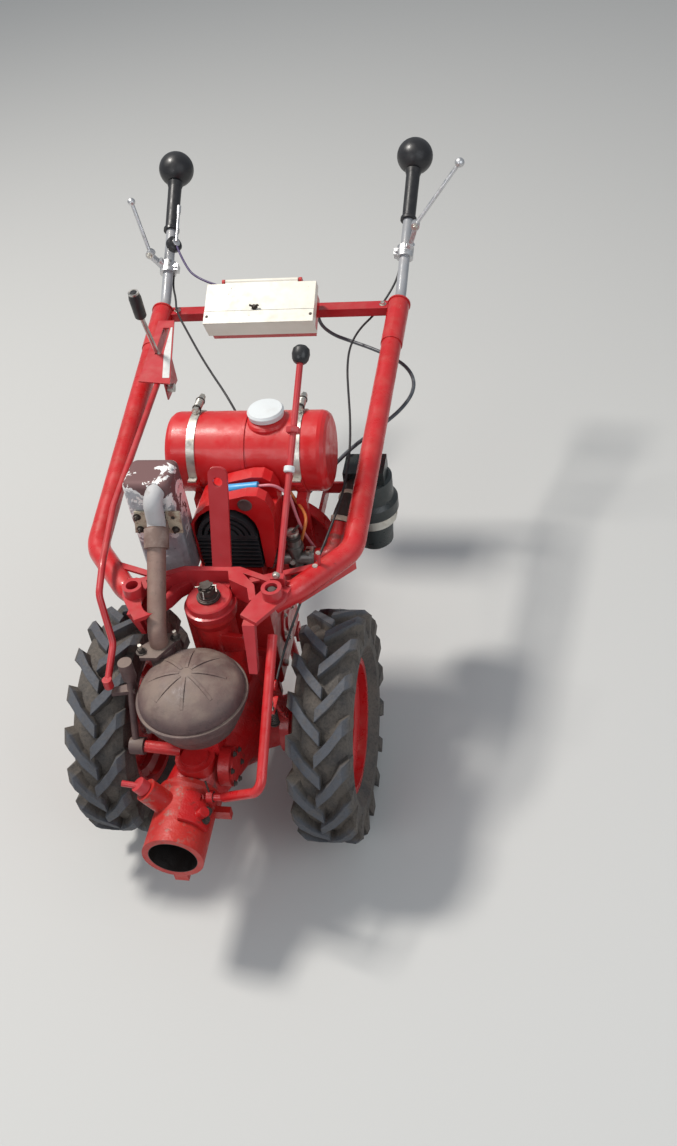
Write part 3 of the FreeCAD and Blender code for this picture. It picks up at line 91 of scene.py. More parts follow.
# Node materials.  Each helper returns the output socket that it makes.
class Shader:
    """A node material under construction, on object coordinates."""

    def __init__(self, name, rough=0.4, metal=0.0, coat=0.0):
        self.material = bpy.data.materials.new(name)
        self.material.use_nodes = True
        self.tree = self.material.node_tree
        self.surface = self.tree.nodes["Principled BSDF"]
        self.surface.inputs["Roughness"].default_value = rough
        self.surface.inputs["Metallic"].default_value = metal
        self.surface.inputs["Coat Weight"].default_value = coat
        self.surface.inputs["Coat Roughness"].default_value = 0.12
        self.place = self.make("ShaderNodeTexCoord").outputs["Object"]

    def make(self, kind, **settings):
        node = self.tree.nodes.new(kind)
        for key, value in settings.items():
            setattr(node, key, value)
        return node

    def put(self, value, socket):
        if isinstance(value, bpy.types.NodeSocket):
            self.tree.links.new(value, socket)
        elif hasattr(socket.default_value, "__len__") and not hasattr(value, "__len__"):
            socket.default_value = [value] * len(socket.default_value)
        elif hasattr(value, "__len__") and len(socket.default_value) == 4:
            socket.default_value = (*value, 1.0)
        else:
            socket.default_value = value

    def stretched(self, x, y, z):
        """Object coordinates scaled by x, y and z."""
        node = self.make("ShaderNodeVectorMath", operation="MULTIPLY")
        self.put(self.place, node.inputs[0])
        node.inputs[1].default_value = (x, y, z)
        return node.outputs[0]

    def noise(self, scale, detail=4.0, rough=0.6, warp=0.0, place=None):
        node = self.make("ShaderNodeTexNoise")
        self.put(place or self.place, node.inputs["Vector"])
        node.inputs["Scale"].default_value = scale
        node.inputs["Detail"].default_value = detail
        node.inputs["Roughness"].default_value = rough
        node.inputs["Distortion"].default_value = warp
        return node.outputs["Fac"]

    def cells(self, scale, place=None):
        node = self.make("ShaderNodeTexVoronoi", feature="F1")
        self.put(place or self.place, node.inputs["Vector"])
        node.inputs["Scale"].default_value = scale
        return node.outputs["Distance"]

    def step(self, value, low, high, out_low=0.0, out_high=1.0):
        """A smooth step from out_low at low to out_high at high."""
        node = self.make("ShaderNodeMapRange", interpolation_type="SMOOTHSTEP")
        for socket, number in zip(node.inputs, (value, low, high, out_low, out_high)):
            self.put(number, socket)
        return node.outputs[0]

    def math(self, operation, a, b=0.0):
        node = self.make("ShaderNodeMath", operation=operation)
        self.put(a, node.inputs[0])
        self.put(b, node.inputs[1])
        return node.outputs[0]

    def mix(self, share, a, b):
        node = self.make("ShaderNodeMix", data_type="RGBA")
        self.put(share, node.inputs[0])
        self.put(a, node.inputs[6])
        self.put(b, node.inputs[7])
        return node.outputs[2]

    def facing_up(self):
        """1 on surfaces that face the sky, 0 on walls and undersides."""
        normal = self.make("ShaderNodeTexCoord").outputs["Normal"]
        z = self.make("ShaderNodeSeparateXYZ")
        self.put(normal, z.inputs[0])
        return self.step(z.outputs[2], 0.25, 0.95)

    def radius_about(self, centre, across):
        """Distance from the line through centre that the two axes marked 1 in across are square to."""
        moved = self.make("ShaderNodeVectorMath", operation="SUBTRACT")
        self.put(self.place, moved.inputs[0])
        moved.inputs[1].default_value = centre
        flat = self.make("ShaderNodeVectorMath", operation="MULTIPLY")
        self.put(moved.outputs[0], flat.inputs[0])
        flat.inputs[1].default_value = across
        length = self.make("ShaderNodeVectorMath", operation="LENGTH")
        self.put(flat.outputs[0], length.inputs[0])
        return length.outputs["Value"]

    def finish(self, colour, rough=None, height=None, depth=0.0004, edge=0.0):
        """Link the colour, roughness and bump; edge rounds hard corners by that radius."""
        self.put(colour, self.surface.inputs["Base Color"])
        if rough is not None:
            self.put(rough, self.surface.inputs["Roughness"])
        normal = None
        if edge:
            bevel = self.make("ShaderNodeBevel", samples=3)
            bevel.inputs["Radius"].default_value = edge
            normal = bevel.outputs[0]
        if height is not None:
            bump = self.make("ShaderNodeBump")
            bump.inputs["Distance"].default_value = depth
            bump.inputs["Strength"].default_value = 1.0
            self.put(height, bump.inputs["Height"])
            if normal is not None:
                self.put(normal, bump.inputs["Normal"])
            normal = bump.outputs[0]
        if normal is not None:
            self.put(normal, self.surface.inputs["Normal"])
        return self.material


def paint(name, base, faded, chip, chips=0.35, dust=0.12, rough=0.34, orange=0.0002, coat=0.25, edge=0.0015):
    """Sprayed paint: slow fading, fine scuffs, small chips to the metal, dust on top faces."""
    s = Shader(name, rough, 0.0, coat)
    slow = s.noise(7.0, 3.0)
    colour = s.mix(s.step(slow, 0.35, 0.72), base, faded)
    scuff = s.noise(55.0, 6.0, 0.7, 0.6, s.stretched(1.0, 0.35, 1.0))
    colour = s.mix(s.step(scuff, 0.62, 0.78, 0.0, 0.45), colour, [min(1.0, c * 1.25 + 0.05) for c in faded])
    bare = s.math("MULTIPLY", s.step(s.noise(120.0, 5.0, 0.65), 0.66, 0.70), s.step(s.noise(16.0), 0.60 - 0.2 * chips, 0.75))
    colour = s.mix(s.math("MULTIPLY", bare, min(1.0, chips * 2)), colour, chip)
    settled = s.math("MULTIPLY", s.facing_up(), s.step(s.noise(30.0, 5.0), 0.4, 0.75, 0.0, dust))
    colour = s.mix(settled, colour, (0.36, 0.28, 0.21))
    shine = s.math("ADD", s.step(s.noise(38.0, 4.0), 0.35, 0.7, rough - 0.08, rough + 0.16), s.math("MULTIPLY", bare, 0.3))
    height = s.math("SUBTRACT", s.noise(420.0, 2.0), s.math("MULTIPLY", bare, 1.2))
    return s.finish(colour, shine, height, orange, edge)


def cast_paint(name, base, faded, chip):
    """Brushed paint over a sand casting, with patches of oil and soil laid by noise."""
    s = Shader(name, 0.4, 0.0, 0.15)
    colour = s.mix(s.step(s.noise(6.0, 4.0), 0.35, 0.7), base, faded)
    grime = s.step(s.noise(18.0, 6.0, 0.7, 0.8), 0.52, 0.74, 0.0, 0.85)
    colour = s.mix(grime, colour, (0.055, 0.035, 0.028))
    bare = s.step(s.noise(75.0, 5.0, 0.7), 0.68, 0.73)
    colour = s.mix(s.math("MULTIPLY", bare, 0.7), colour, chip)
    rough = s.step(s.noise(25.0), 0.35, 0.7, 0.3, 0.62)
    grain = s.math("ADD", s.noise(240.0, 3.0), s.math("MULTIPLY", s.noise(60.0, 3.0), 1.5))
    return s.finish(colour, rough, grain, 0.0007, 0.003)


def rust(name, base, light, dark, dusty=0.5):
    s = Shader(name, 0.62)
    colour = s.mix(s.step(s.noise(9.0, 5.0, 0.65, 0.4), 0.35, 0.68), base, light)
    colour = s.mix(s.step(s.noise(70.0, 6.0, 0.75), 0.5, 0.72, 0.0, 0.6), colour, dark)
    settled = s.math("MULTIPLY", s.facing_up(), s.step(s.noise(20.0, 6.0), 0.35, 0.7, 0.15, dusty))
    colour = s.mix(settled, colour, (0.30, 0.24, 0.19))
    rough = s.step(s.noise(40.0, 5.0), 0.3, 0.7, 0.42, 0.75)
    pits = s.math("ADD", s.noise(320.0, 4.0, 0.7), s.noise(90.0, 3.0))
    return s.finish(colour, rough, pits, 0.0005, 0.002)


def metal(name, colour, stain, rough=0.32, brushed=0.0002, stained=0.5):
    s = Shader(name, rough, 1.0)
    look = s.mix(s.step(s.noise(45.0, 5.0), 0.45, 0.75, 0.0, stained), colour, stain)
    shine = s.step(s.noise(60.0, 4.0), 0.3, 0.7, rough - 0.08, rough + 0.2)
    return s.finish(look, shine, s.noise(500.0, 2.0), brushed, 0.0008)


def plastic(name, colour, grime, rough=0.4, dirt=0.3):
    s = Shader(name, rough)
    look = s.mix(s.step(s.noise(28.0, 6.0, 0.7), 0.5, 0.78, 0.0, dirt), colour, grime)
    shine = s.step(s.noise(35.0), 0.3, 0.7, rough - 0.06, rough + 0.18)
    return s.finish(look, shine, s.noise(350.0, 2.0), 0.0001, 0.001)


def tyre_rubber():
    """Worn farm tyre: brown dust on the carcass and lug flanks, lug tops worn grey with a painted bluish sheen."""
    s = Shader("dusty_tyre", 0.75)
    centre = ORIGIN + Vector((0, 0, JOINTS["wheel_left_spin"]["pos_m"][2]))
    radius = s.radius_about(centre, (0, 1, 1))
    black = (0.032, 0.033, 0.037)
    soil = (0.112, 0.094, 0.078)
    scuffed_and_sheen = (0.074, 0.080, 0.094)
    patches = s.noise(14.0, 6.0, 0.7)
    fine = s.noise(160.0, 5.0, 0.75)
    colour = s.mix(s.step(patches, 0.32, 0.62, 0.35, 0.95), black, soil)
    colour = s.mix(s.step(fine, 0.45, 0.72, 0.0, 0.55), colour, black)
    # Lug tops: grey wear, and a bluish tint that is painted sheen.
    top = s.math("MULTIPLY", s.step(radius, 0.264, 0.276), s.step(s.noise(60.0, 5.0), 0.3, 0.6, 0.55, 1.0))
    colour = s.mix(top, colour, scuffed_and_sheen)
    rough = s.step(fine, 0.3, 0.7, 0.6, 0.9)
    return s.finish(colour, rough, s.math("ADD", fine, patches), 0.0012, 0.003)


def worn_sleeve():
    """Orange-red paint, worn through on the crown of the sleeve, over a greasy bore darkened further with painted
    shade.
    """
    s = Shader("worn_sleeve", 0.42, 0.0, 0.15)
    colour = s.mix(s.step(s.noise(12.0, 4.0), 0.35, 0.7), (0.40, 0.011, 0.008), (0.46, 0.022, 0.015))
    high = s.make("ShaderNodeSeparateXYZ")
    s.put(s.place, high.inputs[0])
    crown = s.math("MULTIPLY", s.step(high.outputs[2], 0.365, 0.400), s.step(s.noise(46.0, 6.0, 0.75), 0.53, 0.64, 0.0, 0.7))
    colour = s.mix(crown, colour, (0.22, 0.14, 0.115))
    flecks = s.step(s.noise(150.0, 5.0, 0.7), 0.60, 0.66, 0.0, 0.8)
    colour = s.mix(s.math("MULTIPLY", flecks, s.step(s.noise(14.0), 0.4, 0.65)), colour, (0.075, 0.045, 0.038))
    # Inside the bore the colour is near black: grease, and painted shade of the recess.
    radius = s.radius_about(at(-42, 0, 329), (1, 0, 1))
    colour = s.mix(s.step(radius, 0.0546, 0.0556), (0.016, 0.012, 0.011), colour)
    rough = s.step(s.noise(40.0, 4.0), 0.35, 0.7, 0.36, 0.62)
    grain = s.math("ADD", s.noise(210.0, 3.0), s.math("MULTIPLY", s.noise(55.0, 3.0), 1.5))
    return s.finish(colour, rough, grain, 0.0007, 0.002)


def clamp_finish():
    """Cream zinc on the plate of the exhaust clamp, rust brown on the saddle in front of it."""
    s = Shader("clamp_finish", 0.55)
    grime = s.step(s.noise(38.0, 6.0, 0.7), 0.48, 0.66)
    plate = s.mix(grime, (0.50, 0.43, 0.32), (0.22, 0.13, 0.09))
    saddle = s.mix(s.step(s.noise(30.0, 5.0), 0.4, 0.65), (0.17, 0.11, 0.09), (0.27, 0.20, 0.17))
    depth = s.make("ShaderNodeSeparateXYZ")
    s.put(s.place, depth.inputs[0])
    front = at(0, 143.5, 0).y
    colour = s.mix(s.step(depth.outputs[1], front - 0.0004, front + 0.0004), saddle, plate)
    return s.finish(colour, None, s.noise(160.0, 4.0), 0.0004)


def conduit():
    """Ribbed grey flexible conduit."""
    s = Shader("conduit", 0.38)
    colour = s.mix(s.step(s.noise(30.0, 4.0), 0.4, 0.7, 0.0, 0.6), (0.052, 0.060, 0.072), (0.16, 0.165, 0.17))
    return s.finish(colour, None, s.noise(260.0, 3.0), 0.0004)


def peeled_box():
    """Silver heat paint that has burnt off to brown and curled into white edges at the top."""
    s = Shader("peeled_silver", 0.42, 0.35)
    silver, brown, white = (0.40, 0.41, 0.44), (0.16, 0.085, 0.085), (0.78, 0.77, 0.76)
    height = s.make("ShaderNodeSeparateXYZ")
    s.put(s.place, height.inputs[0])
    high = s.step(height.outputs[2], 0.68, 0.88)
    field = s.noise(17.0, 7.0, 0.62, 0.5)
    front = s.step(height.outputs[1], at(0, 150, 0).y, at(0, 176, 0).y, 0.052, 0.0)
    crest = s.math("MULTIPLY", front, s.step(height.outputs[2], 0.80, 0.87))
    burnt = s.math("SUBTRACT", s.math("ADD", field, s.math("MULTIPLY", high, 0.20)), crest)
    colour = s.mix(s.step(s.noise(60.0, 4.0), 0.4, 0.7), silver, [c * 0.8 for c in silver])
    colour = s.mix(s.step(burnt, 0.565, 0.58), colour, white)
    colour = s.mix(s.step(burnt, 0.655, 0.67), colour, brown)
    flecks = s.step(s.noise(130.0, 5.0, 0.7), 0.66, 0.70)
    colour = s.mix(s.math("MULTIPLY", flecks, 0.8), colour, (0.05, 0.045, 0.05))
    rough = s.step(burnt, 0.58, 0.66, 0.34, 0.7)
    return s.finish(colour, rough, s.step(burnt, 0.56, 0.66, 1.0, 0.0), 0.0008, 0.003)


RED, RED_FADED = (0.46, 0.0065, 0.0085), (0.54, 0.020, 0.024)
CHIP = (0.10, 0.055, 0.045)
MATERIALS = {
    "red_paint": paint("red_paint", RED, RED_FADED, CHIP),
    "red_worn": paint("red_worn", (0.41, 0.009, 0.014), (0.47, 0.032, 0.040), CHIP, 0.8, 0.12, 0.42),
    "red_tank": paint("red_tank", (0.52, 0.0065, 0.0085), (0.56, 0.012, 0.015), CHIP, 0.1, 0.08, 0.36),
    "red_orange": worn_sleeve(),
    "red_cast": cast_paint("red_cast", (0.42, 0.0075, 0.009), (0.52, 0.016, 0.015), CHIP),
    "ivory_paint": paint("ivory_paint", (0.70, 0.67, 0.58), (0.76, 0.73, 0.65), (0.12, 0.10, 0.08), 0.7, 0.25, 0.40),
    "grey_paint": paint("grey_paint", (0.26, 0.27, 0.29), (0.36, 0.37, 0.39), (0.16, 0.15, 0.15), 0.8, 0.2, 0.42),
    "rusty_steel": rust("rusty_steel", (0.082, 0.046, 0.046), (0.135, 0.080, 0.073), (0.036, 0.023, 0.025)),
    "rusty_pipe": rust("rusty_pipe", (0.19, 0.105, 0.085), (0.27, 0.17, 0.14), (0.10, 0.060, 0.050), 0.6),
    "bare_steel": metal("bare_steel", (0.50, 0.49, 0.47), (0.20, 0.13, 0.09)),
    "galvanised": metal("galvanised", (0.62, 0.60, 0.55), (0.36, 0.30, 0.22), 0.38),
    "alloy": metal("alloy", (0.66, 0.66, 0.67), (0.40, 0.38, 0.36), 0.36),
    "black_cast": plastic("black_cast", (0.022, 0.023, 0.026), (0.075, 0.070, 0.066), 0.5, 0.4),
    "black_rubber": plastic("black_rubber", (0.016, 0.016, 0.018), (0.06, 0.055, 0.05), 0.34, 0.3),
    "dark_paint": plastic("dark_paint", (0.020, 0.026, 0.026), (0.08, 0.075, 0.065), 0.3, 0.3),
    "hose_rubber": plastic("hose_rubber", (0.055, 0.040, 0.034), (0.14, 0.11, 0.09), 0.6, 0.6),
    "cable_black": plastic("cable_black", (0.018, 0.018, 0.020), (0.10, 0.09, 0.08), 0.45, 0.4),
    "blue_plastic": plastic("blue_plastic", (0.045, 0.33, 0.66), (0.10, 0.20, 0.28), 0.35, 0.3),
    "white_plastic": plastic("white_plastic", (0.64, 0.67, 0.68), (0.50, 0.47, 0.42), 0.4, 0.3),
    "pink_rubber": plastic("pink_rubber", (0.62, 0.20, 0.24), (0.30, 0.16, 0.14), 0.45, 0.4),
    "dark_steel": metal("dark_steel", (0.115, 0.100, 0.092), (0.060, 0.038, 0.030), 0.62),
    "cream": plastic("cream", (0.60, 0.53, 0.41), (0.34, 0.28, 0.20), 0.5, 0.5),
    "amber": plastic("amber", (0.66, 0.20, 0.05), (0.40, 0.14, 0.05), 0.25, 0.3),
    "pale_heat": plastic("pale_heat", (0.46, 0.455, 0.46), (0.25, 0.20, 0.17), 0.62, 0.8),
    "clamp_plate": clamp_finish(),
    "dark_alloy": metal("dark_alloy", (0.27, 0.26, 0.25), (0.12, 0.09, 0.07), 0.42),
    "violet": plastic("violet", (0.055, 0.035, 0.11), (0.10, 0.09, 0.09), 0.4, 0.3),
    "pale_strip": plastic("pale_strip", (0.62, 0.62, 0.60), (0.28, 0.25, 0.24), 0.4, 0.6),
    "conduit": conduit(),
    "tyre": tyre_rubber(),
    "peeled": peeled_box(),
}
MATERIALS["red_cast_light"] = MATERIALS["red_cast"]
# The record's slot of each finish that only this scene has.
MATERIALS["red_sheet"] = MATERIALS["red_paint"]

FINISH = {"fuel_tank": "red_tank", "silencer_box": "peeled", "coupling_sleeve": "red_orange",
          "handlebar_yoke": "red_worn", "gate_plate": "red_worn", "control_rod": "red_worn",
          "crossbar": "red_worn", "shift_lever": "red_worn", "exhaust_pipe": "rusty_pipe",
          "pipe_flange": "rusty_steel", "engine_cowl": "red_tank", "exhaust_elbow": "pale_heat",
          "exhaust_clamp": "clamp_plate", "carburettor": "dark_alloy", "sleeve_clamp": "red_cast", "turret_spindle": "dark_steel", "lock_pin": "red_worn",
          "tank_strap_left": "galvanised", "tank_strap_right": "galvanised"}


def dress_nodes():
    slots = {p["node"]: p["material_slot"] for p in frame["record"]["subparts"]}
    for name, node in NODES.items():
        material = MATERIALS[FINISH.get(name, slots[name])]
        node.data.materials.clear()
        node.data.materials.append(material)


dress_nodes()

# Small parts.  A Batch gathers the pieces of one finish that ride one body.
class Batch:
    """Turned, boxed and coiled small parts, in the millimetres of at()."""

    def __init__(self, name, material, body):
        self.name, self.material, self.body = name, material, body
        self.bm = bmesh.new()

    def turned(self, base, axis, rows, sides=24, spin=0.0):
        """A turned piece: rows are (distance along the axis, radius) from base."""
        place = Matrix.Translation(at(*base)) @ Vector(axis).to_track_quat("Z", "Y").to_matrix().to_4x4()
        rings = []
        for along, radius in rows:
            count = sides if radius > 0 else 1
            angles = [spin + 2 * math.pi * k / sides for k in range(count)]
            ring = [Vector((radius * math.cos(a), radius * math.sin(a), along)) * 0.001 for a in angles]
            rings.append([self.bm.verts.new(place @ point) for point in ring])
        for low, high in zip(rings, rings[1:]):
            for k in range(sides):
                after = (k + 1) % sides
                corners = [low[k % len(low)], low[after % len(low)], high[after % len(high)], high[k % len(high)]]
                corners = list(dict.fromkeys(corners))
                if len(corners) > 2:
                    self.bm.faces.new(corners)

    def rod(self, low, high, radius, sides=16):
        reach = Vector(high) - Vector(low)
        self.turned(low, reach, [(0, 0), (0, radius), (reach.length, radius), (reach.length, 0)], sides)

    def washer(self, base, axis, radius, thick):
        self.turned(base, axis, [(0, 0), (0, radius), (thick, radius), (thick, 0)])

    def hexagon(self, base, axis, across, height, spin=0.3):
        r = across / math.sqrt(3)
        self.turned(base, axis, [(0, 0), (0, r), (height * 0.78, r), (height, r * 0.87), (height, 0)], 6, spin)

    def bolt(self, base, axis, across, spin=0.3):
        """A hexagon head on a washer."""
        way = Vector(axis).normalized()
        self.washer(base, way, across * 0.82, across * 0.12)
        self.hexagon(Vector(base) + way * across * 0.12, way, across, across * 0.55, spin)

    def stud(self, base, axis, across, reach):
        """A washer, a nut and the threaded end that stands out of it."""
        way = Vector(axis).normalized()
        self.bolt(base, way, across)
        thread = [(0, 0)]
        step = 1.25
        for k in range(int(reach / step)):
            thread += [(k * step, across * 0.29), ((k + 0.5) * step, across * 0.25)]
        self.turned(base, way, thread + [(reach, across * 0.22), (reach, 0)], 12)

    def block(self, centre, size, turn=(0, 0, 0)):
        """A box of the given size, turned by the three angles in degrees."""
        spun = Matrix.Rotation(math.radians(turn[2]), 4, "Z") @ Matrix.Rotation(math.radians(turn[1]), 4, "Y")
        spun = spun @ Matrix.Rotation(math.radians(turn[0]), 4, "X")
        place = Matrix.Translation(at(*centre)) @ spun @ Matrix.Diagonal((*(Vector(size) * 0.001), 1))
        bmesh.ops.create_cube(self.bm, size=1.0, matrix=place)

    def coil(self, low, high, radius, wire, turns):
        """A helical spring from low to high."""
        low, high = Vector(low), Vector(high)
        turn = (high - low).to_track_quat("Z", "Y").to_matrix()
        count = int(turns * 14)
        line = []
        for k in range(count + 1):
            angle = 2 * math.pi * turns * k / count
            spot = Vector((radius * math.cos(angle), radius * math.sin(angle), (high - low).length * k / count))
            line.append(low + turn @ spot)
        rings = []
        for k, here in enumerate(line):
            way = line[min(k + 1, count)] - line[max(k - 1, 0)]
            side = way.cross(high - low).normalized()
            up = way.cross(side).normalized()
            angles = [2 * math.pi * j / 8 for j in range(8)]
            rings.append([self.bm.verts.new(at(*(here + (side * math.cos(a) + up * math.sin(a)) * wire))) for a in angles])
        for low_ring, high_ring in zip(rings, rings[1:]):
            for j in range(8):
                self.bm.faces.new((low_ring[j], low_ring[(j + 1) % 8], high_ring[(j + 1) % 8], high_ring[j]))
        self.bm.faces.new(rings[0])
        self.bm.faces.new(rings[-1])

    def place(self):
        mesh = bpy.data.meshes.new(self.name)
        bmesh.ops.recalc_face_normals(self.bm, faces=self.bm.faces)
        self.bm.to_mesh(mesh)
        self.bm.free()
        mesh.polygons.foreach_set("use_smooth", [True] * len(mesh.polygons))
        mesh.set_sharp_from_angle(angle=math.radians(33))
        mesh.materials.append(MATERIALS[self.material])
        obj = bpy.data.objects.new(self.name, mesh)
        bpy.context.scene.collection.objects.link(obj)
        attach(obj, self.body)
        return obj


def line(name, points, radius, material):
    """A round cable along a smooth curve whose control points are given in the millimetres of at()."""
    data = bpy.data.curves.new(name, "CURVE")
    data.dimensions = "3D"
    data.bevel_depth = radius * 0.001
    data.bevel_resolution = 4
    data.resolution_u = 10
    data.use_fill_caps = True
    spline = data.splines.new("NURBS")
    spline.points.add(len(points) - 1)
    for control, point in zip(spline.points, points):
        control.co = (*at(*point), 1.0)
    spline.order_u = 3
    spline.use_endpoint_u = True
    data.materials.append(MATERIALS[material])
    obj = bpy.data.objects.new(name, data)
    bpy.context.scene.collection.objects.link(obj)
    return obj


def held_cable(name, node, points, radius, material):
    """A cable in place of its node, running between the handlebar and the chassis as one fixed mesh."""
    curve = line(name + "_line", points, radius, material)
    bpy.context.view_layer.update()
    mesh = bpy.data.meshes.new_from_object(curve.evaluated_get(bpy.context.evaluated_depsgraph_get()))
    bpy.data.objects.remove(curve)
    obj = bpy.data.objects.new(name, mesh)
    bpy.context.scene.collection.objects.link(obj)
    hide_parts(node)
    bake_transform(obj)


held_cable("clutch_cable_line", "clutch_cable",
           [(-333, 1173, 862), (-332, 1143, 846), (-310, 1086, 837), (-286, 1002, 843), (-230, 905, 832),
            (-174, 805, 826), (-119, 712, 824), (-66, 630, 818), (-26, 575, 788), (4, 543, 736), (30, 500, 684),
            (50, 446, 650), (60, 406, 640), (60, 372, 640)], 3.0, "cable_black")
held_cable("brake_cable_line", "brake_cable",
           [(334, 1191, 873), (332, 1160, 855), (316, 1116, 830), (272, 1058, 787), (234, 985, 783), (217, 900, 779),
            (222, 806, 772), (238, 706, 760), (255, 604, 742), (265, 504, 722), (266, 408, 705), (256, 314, 690),
            (234, 222, 662), (204, 134, 620), (176, 62, 570), (157, 2, 528), (149.8, -34, 509), (149.8, -62.7, 506)],
           3.0, "cable_black")
held_cable("switch_lead_line", "switch_lead",
           [(110, 1040, 799.7), (110, 1040, 770), (150, 1012, 750), (206, 980, 747), (264, 948, 744), (322, 910, 740),
            (370, 866, 737), (398, 812, 729), (398, 758, 719), (374, 704, 710), (338, 648, 707), (300, 594, 707),
            (260, 544, 702), (222, 494, 688), (190, 444, 674), (160, 408, 660), (146, 392, 655), (146, 372.3, 655)],
           5.0, "conduit")


def small_parts():
    zinc = Batch("chassis_zinc_parts", "galvanised", "chassis")
    dark = Batch("chassis_dark_parts", "dark_steel", "chassis")
    brown = Batch("chassis_brown_parts", "rusty_steel", "chassis")
    red = Batch("chassis_red_parts", "red_paint", "chassis")
    bar_zinc = Batch("handlebar_zinc_parts", "galvanised", "handlebar")
    bar_dark = Batch("handlebar_dark_parts", "dark_steel", "handlebar")
    bar_red = Batch("handlebar_red_parts", "red_worn", "handlebar")
    back, right, up, front = (0, 1, 0), (1, 0, 0), (0, 0, 1), (0, -1, 0)

    # Washers, castle nut and split pin on the turret spindle.
    for z, radius, thick in ((670.2, 27, 2.6), (672.8, 22, 3.0), (676, 24, 1.8), (678, 20, 3.8)):
        brown.washer((0, 37, z), up, radius, thick)
    for k in range(6):
        a = math.pi * k / 3 + 0.5
        dark.block((13 * math.cos(a), 37 + 13 * math.sin(a), 703), (8, 7.5, 6.5), (0, 0, math.degrees(a)))
    zinc.rod((-24, 33, 704), (24, 41, 704), 1.6)
    zinc.rod((22, 41, 704), (26, 26, 698), 1.5)
    zinc.rod((-3, 20, 702), (-2, 12, 686), 1.6)

    # Nuts and stud ends on the pipe flange, bolts of the pipe clamp.
    for x, y in ((-134, -92), (-66, -47)):
        dark.stud((x, y, 623.6), up, 15, 10)
        zinc.rod((x, y, 633), (x, y, 645), 4.6, 12)
    for x, z in ((-164, 814), (-164, 778), (-80, 778)):
        dark.bolt((x, 144.5, z), front, 11)
        dark.rod((x, 144, z), (x, 132, z), 3)
    # A thin dark disc at the fourth corner of the clamp: painted shade of an empty bolt hole.
    dark.washer((-80, 144.6, 812), front, 4.6, 0.4)

    # Tensioning bolts with their springs on the tank straps.
    for x in (-81.75, 171.75):
        seat_y = 452
        zinc.rod((x, seat_y - 20, 894), (x, seat_y + 62, 889), 4.4)
        zinc.hexagon((x, seat_y - 14, 893.6), (0, 1, -0.05), 17, 11)
        dark.washer((x, seat_y - 2, 893), (0, 1, -0.05), 11, 2.5)
        zinc.coil((x, seat_y + 2, 892), (x, seat_y + 32, 890.5), 8.2, 2.2, 4.5)
        dark.washer((x, seat_y + 33, 890.4), back, 11.5, 3)
        zinc.hexagon((x, seat_y + 37, 890), (0, 1, -0.05), 17, 12)
        zinc.hexagon((x, seat_y + 51, 889.4), (0, 1, -0.05), 14, 9)

    # Cowl plug and bolts, fan housing and starter fasteners.
    brown.turned((69, 211.9, 793), front, [(0, 0), (0, 17), (1.2, 17), (2.2, 15), (1.4, 12), (1.4, 0)], 32)
    for k in range(8):
        a = math.pi * k / 4 + 0.2
        dark.bolt((55 + 90 * math.cos(a), 382.4, 485 + 90 * math.sin(a)), back, 8)
    for a in (20, 55, 90, 125, 160):
        a = math.radians(a)
        dark.bolt((95 + 129 * math.cos(a), 372.2, 555 + 129 * math.sin(a)), back, 9)

    # Carburettor and the intake side.
    zinc.turned((155, 256, 669), up, [(0, 0), (0, 14.5), (4, 15.5), (8, 14.5), (8, 10), (5, 9), (5, 0)], 28)
    dark.turned((155, 256, 655), up, [(0, 13), (0, 18), (5, 18), (5, 13)], 28)
    dark.rod((155, 256, 673), (172, 262, 690), 3)
    zinc.hexagon((150, 233.8, 600), (0, -1, 0.3), 12, 9)
    zinc.hexagon((186, 250, 612), up, 12, 10)
    zinc.block((190, 256, 618), (18, 16, 8))
    zinc.turned((304, 500, 518.5), up, [(0, 60), (0, 63.2), (27, 63.2), (27, 60)], 48)
    for s in (-1, 1):
        zinc.block((304 + s * 63.5, 500, 548), (2.4, 10, 42))
    dark.turned((155, 256, 531), (0, 0, -1), [(0, 0), (0, 9), (6, 9), (6, 0)], 6)

    # Side cover, sleeve clamp and case bolts.
    for k in range(6):
        a = math.pi * k / 3 + 0.4
        dark.bolt((62, -205 + 39 * math.cos(a), 372 + 39 * math.sin(a)), right, 9)
    dark.bolt((24, -352, 374), (0.82, 0, 0.57), 13)
    dark.bolt((24, -330, 374), (0.82, 0, 0.57), 13)
    dark.washer((36.5, -306, 395), (-1, 0, 0), 12, 2.5)
    dark.hexagon((34, -306, 395), (-1, 0, 0), 17, 10)
    dark.hexagon((60, -306, 395), right, 17, 9)
    dark.rod((29, -306, 398), (24, -298, 440), 2.2)
    red.turned((105, 232, 400), right, [(0, 0), (0, 58), (3, 58), (5, 55), (5, 30), (9, 26), (9, 0)], 40)
    red.turned((-105, 232, 400), (-1, 0, 0), [(0, 0), (0, 62), (4, 62), (6, 58), (6, 0)], 40)
    for k in range(6):
        a = math.pi * k / 3
        zinc.bolt((105 + 4.6, 232 + 47 * math.cos(a), 400 + 47 * math.sin(a)), right, 9)
        zinc.bolt((-105 - 5.6, 232 + 52 * math.cos(a), 400 + 52 * math.sin(a)), (-1, 0, 0), 9)
    zinc.hexagon((105, 150, 330), right, 17, 9)
    zinc.hexagon((-105, 150, 330), (-1, 0, 0), 17, 9)

    # Brake stud with its spring, held by a tab of the brake arm.
    red.block((149, -121, 491), (18, 50, 4))
    zinc.rod((150, -136, 520), (150, -136, 440), 3.4)
    zinc.hexagon((150, -136, 493.2), up, 12, 8)
    zinc.block((150, -136, 512), (12, 10, 10))
    dark.coil((150, -136, 487), (150, -136, 450), 10, 1.7, 5.5)
    dark.washer((150, -136, 446), up, 12, 3)

